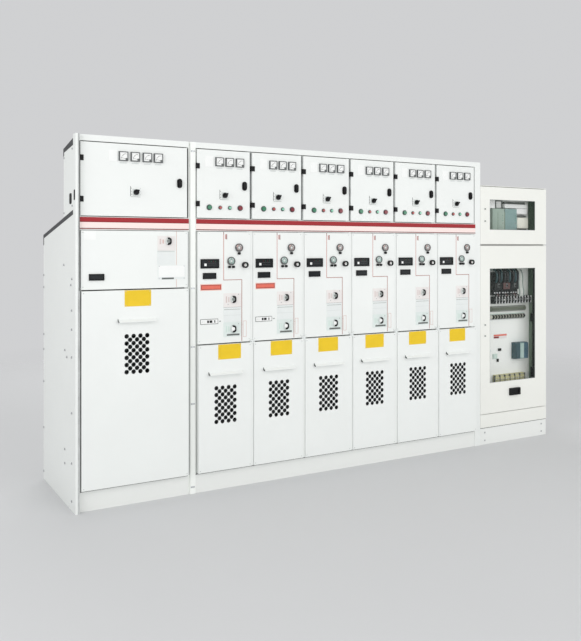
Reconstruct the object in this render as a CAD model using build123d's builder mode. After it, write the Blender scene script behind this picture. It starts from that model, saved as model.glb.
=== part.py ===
from build123d import *

import os
from math import radians, tan

# A ring main unit line-up: a metering cabinet, six like ring main units and a supply cabinet.
# Millimetres, +Z up, front towards -Y, origin on the floor at the middle of length and depth.

os.makedirs("parts", exist_ok=True)

# The line-up from left to right
left_post_width = 28.0
metering_width = 738.0
joint_strip_width = 52.0
unit_width = 420.0
unit_count = 6
right_post_width = 62.0
supply_width = 788.0

# Depths
depth = 860.0
lv_depth = 270.0
supply_depth = 600.0

# Heights above the floor, and drops from them
height = 2380.0
plinth_height = 130.0
supply_plinth_height = 142.0
unit_joint_height = 1005.0
metering_joint_height = 1395.0
band_low = 1778.0
band_height = 84.0
header_height = 39.0
body_rear_drop = 36.0
lv_rear_drop = 76.0
roof_angle = 10.0

# How far the panels stand in front of the low-voltage doors
cover_reach = 30.0
mechanism_reach = 15.0
band_reach = 8.0

# Sheet metal, frame and clearances
sheet = 2.0
wall = 3.0
door_fold = 20.0
panel_margin = 10.0
panel_gap = 8.0
door_gap = 6.0
door_setback = 6.0
post_depth = 30.0
stile_flange = 22.0
stile_sheet = 4.0
stile_recess = 3.0
seam = 1.0
draft_angle = 5.0
pin_clearance = 0.1
cut_over = 5.0

# Places worked out from the sizes above
cabinets_width = left_post_width + metering_width + joint_strip_width + unit_count * unit_width
total_width = cabinets_width + right_post_width + supply_width
left_end = -total_width / 2
metering_left = left_end + left_post_width
metering_right = metering_left + metering_width
units_left = metering_right + joint_strip_width
units_right = units_left + unit_count * unit_width
supply_left = units_right + right_post_width
supply_right = supply_left + supply_width
front = -depth / 2
rear = depth / 2
lv_rear = front + lv_depth
supply_rear = front + supply_depth
band_high = band_low + band_height
body_rear_height = band_low - body_rear_drop
lv_rear_height = height - lv_rear_drop
header_low = height - header_height
door_low = band_high + door_gap
door_high = header_low - door_gap
roof_slope = tan(radians(roof_angle))
post_back = front + post_depth
stile_front = front + door_fold
stile_back = stile_front + stile_sheet
lv_stile_front = stile_front + door_setback
lv_stile_back = lv_stile_front + stile_sheet

unit_lefts = [units_left + unit_width * index for index in range(unit_count)]
inner_bounds = unit_lefts[1:]
cabinets = [(metering_left, metering_right)]
cabinets += [(left, left + unit_width) for left in unit_lefts]
joint_heights = [metering_joint_height] + [unit_joint_height] * unit_count
panel_spans = [(left + panel_margin, right - panel_margin) for left, right in cabinets]
runs = [(metering_left, metering_right), (units_left, units_right)]
roof_runs = [(metering_left, units_left - seam), (units_left, units_right)]
wall_spans = []
for left, right in runs:
    wall_spans += [(left, left + wall), (right - wall, right)]
wall_spans += [(bound - wall / 2, bound + wall / 2) for bound in inner_bounds]


def body_roof_at(y):
    """Height of the top of the body roof at a depth."""
    return body_rear_height + (rear - y) * roof_slope


def lv_roof_at(y):
    """Height of the top of the low-voltage roof at a depth."""
    return lv_rear_height + (lv_rear - y) * roof_slope


def front_at(reach):
    """A plane facing the front, a reach ahead of the low-voltage doors."""
    return Plane.XZ.offset(reach - front)


def end_at(x):
    """A plane facing the right end, its own axes along Y and Z."""
    return Plane.YZ.offset(x)


def profile(plane, points):
    """A closed outline of straight edges on a plane."""
    with BuildSketch(plane) as outline:
        with BuildLine():
            Polyline(*points, close=True)
        make_face()
    return outline.sketch


def slab(x_span, y_span, z_span, mode=Mode.ADD):
    """A plain plate or bar between two corners, in the part being built."""
    spans = (x_span, y_span, z_span)
    with Locations(tuple(sum(span) / 2 for span in spans)):
        Box(*[high - low for low, high in spans], mode=mode)


def tray(x_span, z_span, reach, fold):
    """A folded sheet panel in the part being built: a front skin with a return on each edge."""
    middle = (sum(x_span) / 2, sum(z_span) / 2)
    wide = x_span[1] - x_span[0]
    tall = z_span[1] - z_span[0]
    with BuildSketch(front_at(reach)) as skin:
        with Locations(middle):
            Rectangle(wide, tall)
    with BuildSketch(front_at(reach - sheet)) as hollow:
        with Locations(middle):
            Rectangle(wide - 2 * sheet, tall - 2 * sheet)
    extrude(skin.sketch, amount=-fold)
    extrude(hollow.sketch, amount=-fold, mode=Mode.SUBTRACT)


def boss(place, radius, base, reach, taper=0):
    """A round boss on a front face, in the part being built."""
    with BuildSketch(front_at(base)) as outline:
        with Locations(place):
            Circle(radius)
    extrude(outline.sketch, amount=reach, taper=taper)


def block(place, size, base, reach, taper=0):
    """A rectangular boss on a front face, in the part being built."""
    with BuildSketch(front_at(base)) as outline:
        with Locations(place):
            Rectangle(*size)
    extrude(outline.sketch, amount=reach, taper=taper)


def within(x_span, z_span, shares):
    """A place on a front face, given as shares of its width and height."""
    across, up = shares
    return (
        x_span[0] + across * (x_span[1] - x_span[0]),
        z_span[0] + up * (z_span[1] - z_span[0]),
    )


def save(piece, name):
    """Label a finished piece and write its file."""
    piece.part.label = name
    export_step(piece.part, f"parts/{name}.step")


# Plinth: channel rails along the front and the back, and cross rails under each wall
plinth_flange = 50.0
cross_flange = 40.0
plinth_sheet = 4.0
plinth_setback = 6.0
anchor_radius = 7.0
anchor_inset = 90.0
plinths = [(left, right, rear, plinth_height) for left, right in runs]
plinths.append((supply_left, supply_right, supply_rear, supply_plinth_height))


def channel(flange, tall):
    """Outline of a channel with its web on the left."""
    return [
        (0, 0),
        (flange, 0),
        (flange, plinth_sheet),
        (plinth_sheet, plinth_sheet),
        (plinth_sheet, tall - plinth_sheet),
        (flange, tall - plinth_sheet),
        (flange, tall),
        (0, tall),
    ]


with BuildPart() as plinth_long_rails:
    for left, right, back, tall in plinths:
        front_edge = front + plinth_setback
        back_edge = back - plinth_setback
        front_plane = Plane(origin=(left, front_edge, 0), x_dir=(0, 1, 0), z_dir=(1, 0, 0))
        back_plane = Plane(origin=(right, back_edge, 0), x_dir=(0, -1, 0), z_dir=(-1, 0, 0))
        for rail_plane in (front_plane, back_plane):
            extrude(profile(rail_plane, channel(plinth_flange, tall)), amount=right - left)
        for end_span in ((left, left + plinth_sheet), (right - plinth_sheet, right)):
            slab(end_span, (front_edge, front_edge + plinth_flange), (0, tall))
            slab(end_span, (back_edge - plinth_flange, back_edge), (0, tall))
        rows = (front_edge + plinth_flange / 2, back_edge - plinth_flange / 2)
        columns = (left + anchor_inset, right - anchor_inset)
        with Locations([(column, row, 0) for column in columns for row in rows]):
            Cylinder(anchor_radius, 2 * plinth_sheet + cut_over, mode=Mode.SUBTRACT)
save(plinth_long_rails, "plinth_long_rails")

with BuildPart() as plinth_cross_rails:
    near = front + plinth_setback + plinth_flange
    for left, right, back, tall in plinths:
        far = back - plinth_setback - plinth_flange
        left_plane = Plane(origin=(left, far, 0), x_dir=(1, 0, 0), z_dir=(0, -1, 0))
        right_plane = Plane(origin=(right, near, 0), x_dir=(-1, 0, 0), z_dir=(0, 1, 0))
        for rail_plane in (left_plane, right_plane):
            extrude(profile(rail_plane, channel(cross_flange, tall)), amount=far - near)
    far = rear - plinth_setback - plinth_flange
    for bound in inner_bounds:
        rail_plane = Plane(origin=(bound - cross_flange / 2, far, 0), x_dir=(1, 0, 0), z_dir=(0, -1, 0))
        extrude(profile(rail_plane, channel(cross_flange, plinth_height)), amount=far - near)
save(plinth_cross_rails, "plinth_cross_rails")

# Front posts, folded sheet open at the back: the left post stands out as far as the cable covers, the
# strip between the metering cabinet and the units has a set-back flange, the right post is flush
left_post_face = 15.0
joint_flange = 14.0
joint_recess = 12.0
post_slot_size = (40.0, 66.0)
post_slot_rise = 101.0
left_post_right = left_end + left_post_face
post_front = front - cover_reach
left_post_points = [
    (left_end, post_back),
    (left_end, post_front),
    (left_post_right, post_front),
    (left_post_right, post_back),
]
joint_strip_points = [
    (metering_right, post_back),
    (metering_right, front + joint_recess),
    (metering_right + joint_flange, front + joint_recess),
    (metering_right + joint_flange, front),
    (units_left, front),
    (units_left, post_back),
]
right_post_points = [
    (units_right, post_back),
    (units_right, front),
    (supply_left, front),
    (supply_left, post_back),
]
with BuildPart() as front_posts:
    for points in (left_post_points, joint_strip_points, right_post_points):
        extrude(profile(Plane.XY, points), amount=height)
        with BuildSketch(Plane.XY.offset(sheet)):
            with BuildLine():
                Polyline(*points, close=True)
            make_face()
            offset(amount=-sheet, kind=Kind.INTERSECTION, mode=Mode.REPLACE)
        extrude(amount=height - 2 * sheet, mode=Mode.SUBTRACT)
        inside = (points[0][0] + sheet, points[-1][0] - sheet)
        slab(inside, (post_back - sheet, post_back), (sheet, height - sheet), mode=Mode.SUBTRACT)
    with BuildSketch(end_at(left_end)):
        with Locations(((post_front + post_back) / 2, band_high + post_slot_rise + post_slot_size[1] / 2)):
            RectangleRounded(*post_slot_size, post_slot_size[0] / 4)
    extrude(amount=sheet, mode=Mode.SUBTRACT)
save(front_posts, "front_posts")

# End panels: folded pans, a lower one with a sloping top and an upper one beside the low-voltage boxes
end_slot_setback = 62.0
end_slot_size = (68.0, 70.0)
end_slot_rise = 80.0
upper_end_gap = 16.0
upper_end_drop = 14.0
panel_ends = [(left_end, metering_left, 1), (supply_left, units_right, -1)]
lower_end = [
    (post_back, 0),
    (rear, 0),
    (rear, body_roof_at(rear)),
    (post_back, body_roof_at(post_back)),
]
upper_end = [
    (post_back, body_roof_at(post_back) + upper_end_gap),
    (lv_rear, body_roof_at(lv_rear) + upper_end_gap),
    (lv_rear, lv_roof_at(lv_rear) - upper_end_drop),
    (post_back, lv_roof_at(post_back) - upper_end_drop),
]
with BuildPart() as end_panels:
    for outer, inner, facing in panel_ends:
        outside = Plane(origin=(outer, 0, 0), x_dir=(0, facing, 0), z_dir=(facing, 0, 0))
        thick = abs(inner - outer)
        for points in (lower_end, upper_end):
            turned = [(facing * y, z) for y, z in points]
            extrude(profile(outside, turned), amount=thick)
            with BuildSketch(outside.offset(sheet)):
                with BuildLine():
                    Polyline(*turned, close=True)
                make_face()
                offset(amount=-sheet, kind=Kind.INTERSECTION, mode=Mode.REPLACE)
            extrude(amount=thick, mode=Mode.SUBTRACT)
        slot_y = front + end_slot_setback + end_slot_size[0] / 2
        slot_z = band_high + end_slot_rise + end_slot_size[1] / 2
        with BuildSketch(outside):
            with Locations((facing * slot_y, slot_z)):
                RectangleRounded(*end_slot_size, end_slot_size[0] / 4)
        extrude(amount=sheet, mode=Mode.SUBTRACT)
save(end_panels, "end_panels")

# Edge trims: a dark strip along the sloping top of each end panel, turned down at the back, and an
# upright seal between the left post and the metering cabinet
trim_width = 12.0
body_trim_thick = 14.0
body_trim_turn = 60.0
body_trim_over = 5.0
lv_trim_thick = 22.0
lv_trim_turn = 30.0
lv_trim_over = 10.0
seal_setback = 4.0


def trim_outline(start, end, start_height, end_height, sizes):
    """Outline of a strip along a sloping edge, turned down past its far end."""
    thick, turn, over = sizes
    return [
        (start, start_height),
        (end, end_height),
        (end, end_height - turn),
        (end + over, end_height - turn),
        (end + over, end_height + thick),
        (start, start_height + thick),
    ]


body_trim = trim_outline(
    *(post_back, rear),
    *(body_roof_at(post_back), body_roof_at(rear)),
    (body_trim_thick, body_trim_turn, body_trim_over),
)
lv_trim = trim_outline(
    *(post_back, lv_rear),
    *(lv_roof_at(post_back) - upper_end_drop, lv_roof_at(lv_rear) - upper_end_drop),
    (lv_trim_thick, lv_trim_turn, lv_trim_over),
)
with BuildPart() as edge_trims:
    for outer, inner, facing in panel_ends:
        outside = Plane(origin=(outer, 0, 0), x_dir=(0, facing, 0), z_dir=(facing, 0, 0))
        for points in (body_trim, lv_trim):
            extrude(profile(outside, [(facing * y, z) for y, z in points]), amount=trim_width)
    slab((left_post_right, metering_left), (post_front + seal_setback, post_back), (0, height))
save(edge_trims, "edge_trims")

# Body walls between the cabinets, up to the floor of the low-voltage boxes and the sloping roof
body_top = band_high - wall
wall_points = [
    (stile_back, plinth_height),
    (rear - sheet, plinth_height),
    (rear - sheet, body_roof_at(rear - sheet) - wall),
    (lv_rear, body_roof_at(lv_rear) - wall),
    (lv_rear - sheet, body_roof_at(lv_rear) - wall),
    (lv_rear - sheet, body_top),
    (stile_back, body_top),
]
with BuildPart() as side_walls:
    for left, right in wall_spans:
        extrude(profile(end_at(left), wall_points), amount=right - left)
save(side_walls, "side_walls")

# Stiles: the upright front frame; a nose shows between the units, flat strips stand beside the posts
with BuildPart() as front_stiles:
    for bound in inner_bounds:
        half_points = [
            (panel_margin, front + stile_recess),
            (panel_margin, stile_front),
            (stile_flange, stile_front),
            (stile_flange, stile_back),
        ]
        stile_points = [(bound + x, y) for x, y in half_points]
        stile_points += [(bound - x, y) for x, y in reversed(half_points)]
        extrude(profile(Plane.XY.offset(plinth_height), stile_points), amount=band_low - plinth_height)
        lv_span = (bound - stile_flange, bound + stile_flange)
        slab(lv_span, (lv_stile_front, lv_stile_back), (band_high, header_low))
    for left, right in runs:
        for span in ((left, left + stile_flange), (right - stile_flange, right)):
            slab(span, (stile_front, stile_back), (plinth_height, band_low))
            slab(span, (lv_stile_front, lv_stile_back), (band_high, header_low))
save(front_stiles, "front_stiles")

# Back panels, one for each cabinet, and a strip behind the joint
back_spans = [(left, right, plinth_height) for left, right in cabinets]
back_spans.append((metering_right, units_left, 0))
with BuildPart() as back_panels:
    for left, right, low in back_spans:
        span = (left + seam / 2, right - seam / 2)
        slab(span, (rear - sheet, rear), (low, body_roof_at(rear) - wall))
save(back_panels, "back_panels")

# Sloping roofs of the body, behind the low-voltage boxes
body_roof_points = [
    (lv_rear, body_roof_at(lv_rear)),
    (rear, body_roof_at(rear)),
    (rear, body_roof_at(rear) - wall),
    (lv_rear, body_roof_at(lv_rear) - wall),
]
with BuildPart() as body_roofs:
    for left, right in roof_runs:
        extrude(profile(end_at(left), body_roof_points), amount=right - left)
save(body_roofs, "body_roofs")

# Switch tanks: closed housings between the walls, behind the mechanism panels
tank_back_gap = 60.0
tank_top_gap = 20.0
tank_chamfer = 12.0
tank_spans = [(metering_left + wall, metering_right - wall)]
for left in unit_lefts:
    left_wall = wall if left == units_left else wall / 2
    right_wall = wall if left == unit_lefts[-1] else wall / 2
    tank_spans.append((left + left_wall, left + unit_width - right_wall))
with BuildPart() as switch_tanks:
    for span, low in zip(tank_spans, joint_heights):
        slab(span, (stile_back, rear - tank_back_gap), (low, body_rear_height - tank_top_gap))
    chamfer(switch_tanks.edges().filter_by(Axis.X), tank_chamfer)
save(switch_tanks, "switch_tanks")

# Mechanism panels above and lift-off cable covers below, folded sheet seated on the stiles
mechanism_spans = [(low + panel_gap / 2, band_low - panel_gap / 2) for low in joint_heights]
with BuildPart() as mechanism_panels:
    for x_span, z_span in zip(panel_spans, mechanism_spans):
        tray(x_span, z_span, mechanism_reach, mechanism_reach + door_fold)
save(mechanism_panels, "mechanism_panels")

vent_radius = 15.0
vent_pitch = 46.0
vent_columns = 4
vent_rows = 6
vent_drop = 416.0
with BuildPart() as cable_covers:
    for x_span, high in zip(panel_spans, joint_heights):
        z_span = (plinth_height + panel_gap, high - panel_gap / 2)
        tray(x_span, z_span, cover_reach, cover_reach + door_fold)
        with BuildSketch(front_at(cover_reach)):
            with Locations((sum(x_span) / 2, high - vent_drop)):
                with GridLocations(vent_pitch, vent_pitch, vent_columns, vent_rows):
                    Circle(vent_radius)
                with GridLocations(vent_pitch, vent_pitch, vent_columns - 1, vent_rows - 1):
                    Circle(vent_radius)
        extrude(amount=-sheet, mode=Mode.SUBTRACT)
save(cable_covers, "cable_covers")

# Pull lips on the cable covers: a foot on the skin, a flap leaning out, a short turned-down edge
lip_length = 250.0
lip_reach = 24.0
lip_flap = 16.0
lip_foot = 8.0
lip_edge = 3.0
lip_drop = 186.0
lip_points = [
    (0, lip_flap + lip_foot),
    (0, lip_flap - lip_foot),
    (-sheet, lip_flap - lip_foot),
    (-sheet, lip_flap),
    (-lip_reach + sheet, lip_edge),
    (-lip_reach + sheet, 0),
    (-lip_reach, 0),
    (-lip_reach, lip_edge + sheet),
    (-sheet, lip_flap + sheet),
    (-sheet, lip_flap + lip_foot),
]
with BuildPart() as cover_lips:
    for x_span, high in zip(panel_spans, joint_heights):
        lip_left = sum(x_span) / 2 - lip_length / 2
        lip_low = high - lip_drop - lip_foot - lip_flap
        lip_plane = Plane(origin=(lip_left, front - cover_reach, lip_low), x_dir=(0, 1, 0), z_dir=(1, 0, 0))
        extrude(profile(lip_plane, lip_points), amount=lip_length)
save(cover_lips, "cover_lips")

# The band over the mechanism panels and the header over the low-voltage doors
with BuildPart() as busbar_band:
    for run in runs:
        tray(run, (band_low, band_high), band_reach, band_reach + door_fold)
save(busbar_band, "busbar_band")

header_depth = 40.0
header_points = [
    (front, header_low),
    (front + sheet, header_low),
    (front + sheet, height - sheet),
    (front + header_depth, height - sheet),
    (front + header_depth, height),
    (front, height),
]
with BuildPart() as header_rails:
    for left, right in runs:
        extrude(profile(end_at(left), header_points), amount=right - left)
save(header_rails, "header_rails")

# Low-voltage boxes: floor, partitions, back and sloping roof
with BuildPart() as lv_floors:
    for left, right in runs:
        slab((left, right), (stile_front, lv_rear - sheet), (band_high - wall, band_high))
save(lv_floors, "lv_floors")

partition_points = [
    (lv_stile_back, band_high),
    (lv_rear - sheet, band_high),
    (lv_rear - sheet, lv_roof_at(lv_rear - sheet) - wall),
    (lv_stile_back, lv_roof_at(lv_stile_back) - wall),
]
with BuildPart() as lv_partitions:
    for left, right in wall_spans:
        extrude(profile(end_at(left), partition_points), amount=right - left)
save(lv_partitions, "lv_partitions")

with BuildPart() as lv_backs:
    for left, right in roof_runs:
        slab((left, right), (lv_rear - sheet, lv_rear), (body_roof_at(lv_rear), lv_roof_at(lv_rear) - wall))
save(lv_backs, "lv_backs")

lv_roof_runs = [(left, right, front + sheet) for left, right in runs]
lv_roof_runs.append((metering_right, units_left - seam, post_back))
with BuildPart() as lv_roofs:
    for left, right, start in lv_roof_runs:
        lv_roof_points = [
            (start, lv_roof_at(start)),
            (lv_rear, lv_roof_at(lv_rear)),
            (lv_rear, lv_roof_at(lv_rear) - wall),
            (start, lv_roof_at(start) - wall),
        ]
        extrude(profile(end_at(left), lv_roof_points), amount=right - left)
save(lv_roofs, "lv_roofs")

# Hinges of the low-voltage doors: a bracket and pin on the frame, a leaf with two knuckles on the door
hinge_height = 36.0
hinge_axis_inset = 8.0
hinge_axis_reach = 6.0
knuckle_radius = 5.0
pin_radius = 2.5
bracket_sheet = 2.5
leaf_sheet = 3.0
leaf_edge = 30.0
knuckle_gap = 0.3
metering_hinge_shares = (0.782, 0.225)
unit_hinge_shares = (0.756, 0.206)
door_hinge_shares = [metering_hinge_shares] + [unit_hinge_shares] * unit_count
knuckle = hinge_height / 3


def hinge_level(share):
    """Height of the middle of a hinge, from its share of the door's height."""
    return door_low + share * (door_high - door_low)


def hinge_axis(edge):
    """Where a door's hinge axis stands, seen from above."""
    return (edge + hinge_axis_inset, front - hinge_axis_reach)


def hinge_bracket(edge, middle):
    """The frame half of a hinge, in the part being built."""
    axis = hinge_axis(edge)
    lug_span = (axis[1] - pin_radius, axis[1] + pin_radius)
    z_span = (middle - hinge_height / 2, middle + hinge_height / 2)
    slab((edge, edge + bracket_sheet), (lug_span[0], lv_stile_front), z_span)
    slab((edge, axis[0]), lug_span, (middle - knuckle / 2, middle + knuckle / 2))
    with Locations((*axis, middle)):
        Cylinder(knuckle_radius, knuckle)
        Cylinder(pin_radius, hinge_height)


def hinge_leaf(edge, middle):
    """The door half of a hinge, in the part being built."""
    axis = hinge_axis(edge)
    tall = knuckle - knuckle_gap
    lift = (hinge_height - tall) / 2
    root = axis[0] + knuckle_radius + seam
    y_span = (front - leaf_sheet, front)
    slab((root, edge + leaf_edge), y_span, (middle - hinge_height / 2, middle + hinge_height / 2))
    for level in (middle - lift, middle + lift):
        slab((axis[0], root), y_span, (level - tall / 2, level + tall / 2))
        with Locations((*axis, level)):
            Cylinder(knuckle_radius, tall)
            Cylinder(pin_radius + pin_clearance, tall, mode=Mode.SUBTRACT)


with BuildPart() as hinge_brackets:
    for (edge, _), hinge_shares in zip(cabinets, door_hinge_shares):
        for share in hinge_shares:
            hinge_bracket(edge, hinge_level(share))
save(hinge_brackets, "hinge_brackets")

# Low-voltage doors and what sits on them; places are shares of the door's width and height
meter_size = 62.0
meter_body = 54.0
meter_window = 50.0
meter_reach = 12.0
meter_recess = 3.0
meter_behind = 45.0
plate_size = (58.0, 74.0)
plate_sheet = 2.0
lock_size = (34.0, 62.0)
lock_reach = 18.0
lock_barrel_radius = 6.0
lock_barrel_reach = 22.0
switch_plate = 44.0
switch_collar_radius = 18.0
switch_grip = (40.0, 11.0)
switch_reach = 30.0
button_radius = 20.0
lamp_radius = 14.0
button_rim = 5.0
button_reach = 14.0
metering_meter_shares = ((0.386, 0.83), (0.496, 0.83), (0.609, 0.83), (0.715, 0.83))
metering_plate_shares = (0.290, 0.83)
metering_lock_shares = (0.924, 0.486)
metering_switch_shares = (0.504, 0.338)
unit_meter_shares = ((0.416, 0.83), (0.608, 0.83), (0.806, 0.83))
unit_plate_shares = (0.22, 0.83)
unit_lock_shares = (0.896, 0.486)
unit_switch_shares = (0.516, 0.338)
unit_button_shares = ((0.226, 0.156), (0.81, 0.156))
unit_lamp_shares = ((0.43, 0.156), (0.612, 0.156))
door_span = (door_low, door_high)


def lv_door(x_span, meter_shares):
    """A folded door with a square cut-out for each meter."""
    with BuildPart() as door:
        tray(x_span, door_span, 0, door_fold)
        with BuildSketch(front_at(0)):
            with Locations([within(x_span, door_span, shares) for shares in meter_shares]):
                Rectangle(meter_body + seam, meter_body + seam)
        extrude(amount=-sheet, mode=Mode.SUBTRACT)
    return door


def meter(place):
    """A square panel meter with a sunk window, its case passing through the door."""
    block(place, (meter_size, meter_size), 0, meter_reach, taper=draft_angle)
    block(place, (meter_body, meter_body), 0, -meter_behind)
    with BuildSketch(front_at(meter_reach)) as window:
        with Locations(place):
            Rectangle(meter_window, meter_window)
    extrude(window.sketch, amount=-meter_recess, mode=Mode.SUBTRACT)


def door_lock(place):
    """An oval swing-handle lock with a key barrel in its lower half."""
    wide, tall = lock_size
    with BuildSketch(front_at(0)) as lock_base:
        with Locations(place):
            SlotOverall(tall, wide, rotation=90)
    extrude(lock_base.sketch, amount=lock_reach / 2)
    with BuildSketch(front_at(lock_reach / 2)) as lock_grip:
        with Locations(place):
            SlotOverall(tall - wide / 3, wide - wide / 3, rotation=90)
    extrude(lock_grip.sketch, amount=lock_reach / 2, taper=draft_angle)
    boss((place[0], place[1] - tall / 6), lock_barrel_radius, 0, lock_barrel_reach)


def rotary_switch(place):
    """A selector with a square plate, a round collar and a slanting grip."""
    block(place, (switch_plate, switch_plate), 0, switch_reach / 6)
    boss(place, switch_collar_radius, 0, switch_reach / 2)
    with BuildSketch(front_at(0)) as grip:
        with Locations(place):
            SlotOverall(*switch_grip, rotation=45)
    extrude(grip.sketch, amount=switch_reach)


def push_button(place, radius):
    """A round button or lamp: a rim and a cap that narrows towards its face."""
    boss(place, radius, 0, button_rim)
    boss(place, radius - button_rim, button_rim, button_reach - button_rim, taper=draft_angle)


def instruments(edge, x_span, hinge_shares, places):
    """Meters, blank plate, lock, rotary switch, buttons, lamps and hinge leaves of one door."""
    meter_shares, plate_shares, lock_shares, switch_shares, button_shares, lamp_shares = places
    with BuildPart() as group:
        for shares in meter_shares:
            meter(within(x_span, door_span, shares))
        block(within(x_span, door_span, plate_shares), plate_size, 0, plate_sheet)
        door_lock(within(x_span, door_span, lock_shares))
        rotary_switch(within(x_span, door_span, switch_shares))
        for shares in button_shares:
            push_button(within(x_span, door_span, shares), button_radius)
        for shares in lamp_shares:
            push_button(within(x_span, door_span, shares), lamp_radius)
        for share in hinge_shares:
            hinge_leaf(edge, hinge_level(share))
    return group


metering_places = (
    metering_meter_shares,
    metering_plate_shares,
    metering_lock_shares,
    metering_switch_shares,
    (),
    (),
)
unit_places = (
    unit_meter_shares,
    unit_plate_shares,
    unit_lock_shares,
    unit_switch_shares,
    unit_button_shares,
    unit_lamp_shares,
)
door_names = ["metering"] + [f"unit_{index + 1}" for index in range(unit_count)]
door_places = [metering_places] + [unit_places] * unit_count
for index, name in enumerate(door_names):
    x_span = panel_spans[index]
    places = door_places[index]
    save(lv_door(x_span, places[0]), f"{name}_lv_door")
    group = instruments(cabinets[index][0], x_span, door_hinge_shares[index], places)
    save(group, f"{name}_lv_instruments")

# On the mechanism panels: displays, operating plates, ports, position indicators and gauges
display_reach = 8.0
display_frame = 5.0
large_display = (137.0, 64.0)
small_display = (98.0, 42.0)
large_display_shares = (0.219, 0.714)
small_display_shares = (0.213, 0.605)
metering_display_shares = (0.137, 0.21)
operating_sheet = 2.5
upper_plate = (135.0, 97.0)
lower_plate = (135.0, 100.0)
upper_plate_shares = (0.646, 0.383)
lower_plate_shares = (0.646, 0.119)
metering_port_plate = (123.0, 97.0)
metering_port_plate_shares = (0.787, 0.787)
metering_low_plate = (191.0, 95.0)
metering_low_plate_shares = (0.838, 0.275)
port_size = (50.0, 38.0)
port_bore = 11.0
port_reach = 12.0
upper_port_shares = (0.66, 0.389)
lower_port_shares = (0.66, 0.122)
metering_port_shares = (0.806, 0.823)
indicator_radius = 29.0
indicator_rim = 5.0
indicator_reach = 10.0
stud_radius = 9.0
stud_reach = 16.0
stud_drop = 40.0
stud_pitch = 30.0
upper_indicator_shares = (0.769, 0.857)
lower_indicator_shares = (0.62, 0.736)
gauge_radius = 21.0
gauge_reach = 25.0
gauge_recess = 19.0
gauge_shares = (0.88, 0.7)
metering_face = (panel_spans[0], mechanism_spans[0])
unit_faces = list(zip(panel_spans[1:], mechanism_spans[1:]))


def display(place, size):
    """A display with a raised frame round a sunk window, in the part being built."""
    block(place, size, mechanism_reach, display_reach, taper=draft_angle)
    with BuildSketch(front_at(mechanism_reach + display_reach)) as window:
        with Locations(place):
            Rectangle(size[0] - 3 * display_frame, size[1] - 3 * display_frame)
    extrude(window.sketch, amount=-display_reach / 4, mode=Mode.SUBTRACT)


with BuildPart() as displays:
    display(within(*metering_face, metering_display_shares), small_display)
    for face in unit_faces:
        display(within(*face, large_display_shares), large_display)
        display(within(*face, small_display_shares), small_display)
save(displays, "displays")

plates = [
    (within(*metering_face, metering_port_plate_shares), metering_port_plate),
    (within(*metering_face, metering_low_plate_shares), metering_low_plate),
]
for face in unit_faces:
    plates.append((within(*face, upper_plate_shares), upper_plate))
    plates.append((within(*face, lower_plate_shares), lower_plate))
with BuildPart() as operating_plates:
    for place, size in plates:
        block(place, size, mechanism_reach, operating_sheet)
save(operating_plates, "operating_plates")

port_places = [within(*metering_face, metering_port_shares)]
for face in unit_faces:
    port_places += [within(*face, upper_port_shares), within(*face, lower_port_shares)]
with BuildPart() as operating_ports:
    with BuildSketch(front_at(mechanism_reach + operating_sheet)):
        with Locations(port_places):
            SlotOverall(*port_size, rotation=90)
            RegularPolygon(port_bore, 6, mode=Mode.SUBTRACT)
    extrude(amount=port_reach)
save(operating_ports, "operating_ports")


def dial(place, radius, reach, recess):
    """A round housing with a sunk face, in the part being built."""
    boss(place, radius, mechanism_reach, reach)
    with BuildSketch(front_at(mechanism_reach + reach)) as face_outline:
        with Locations(place):
            Circle(radius - indicator_rim)
    extrude(face_outline.sketch, amount=-recess, mode=Mode.SUBTRACT)


def indicator(place, stud_offsets):
    """A position indicator with its studs in a row below it, in the part being built."""
    dial(place, indicator_radius, indicator_reach, indicator_rim)
    for across in stud_offsets:
        boss((place[0] + across, place[1] - stud_drop), stud_radius, mechanism_reach, stud_reach)


with BuildPart() as position_knobs:
    for face in unit_faces:
        indicator(within(*face, upper_indicator_shares), (0,))
        indicator(within(*face, lower_indicator_shares), (-stud_pitch / 2, stud_pitch / 2))
        dial(within(*face, gauge_shares), gauge_radius, gauge_reach, gauge_recess)
save(position_knobs, "position_knobs")

# Supply cabinet: walls, back, roof, shelf and bottom panel
supply_height = 2190.0
supply_shelf_height = 1687.0
supply_bottom_height = 110.0
supply_wall = 2.0
supply_plate = 4.0
supply_door_fold = 24.0
supply_door_margin = 2.0
supply_door_gap = 5.0
supply_frame_setback = 35.0
pivot_inset = 12.0
pivot_radius = 4.0
pivot_grip = 6.0
supply_roof_low = supply_height - supply_plate
supply_wall_front = front + supply_frame_setback
shelf_low = supply_shelf_height - supply_plate / 2
shelf_high = supply_shelf_height + supply_plate / 2
bottom_high = supply_plinth_height + supply_bottom_height
pivot = (supply_right - supply_door_margin - pivot_inset, front + pivot_inset)
pivot_length = supply_door_gap + sheet + pivot_grip
supply_inside = (supply_left + supply_wall, supply_right - supply_wall)
supply_door_span = (supply_left + supply_door_margin, supply_right - supply_door_margin)
supply_wall_span = (supply_plinth_height, supply_roof_low)


def pivot_pin(level, rise):
    """A door pivot standing up or hanging down from a level, in the part being built."""
    with Locations((*pivot, level + rise * pivot_length / 2)):
        Cylinder(pivot_radius, pivot_length)


with BuildPart() as supply_walls:
    for left in (supply_left, supply_right - supply_wall):
        slab((left, left + supply_wall), (supply_wall_front, supply_rear), supply_wall_span)
save(supply_walls, "supply_walls")

with BuildPart() as supply_back:
    slab(supply_inside, (supply_rear - supply_wall, supply_rear), supply_wall_span)
save(supply_back, "supply_back")

with BuildPart() as supply_roof:
    slab((supply_left, supply_right), (front, supply_rear), (supply_roof_low, supply_height))
    pivot_pin(supply_roof_low, -1)
save(supply_roof, "supply_roof")

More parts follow.
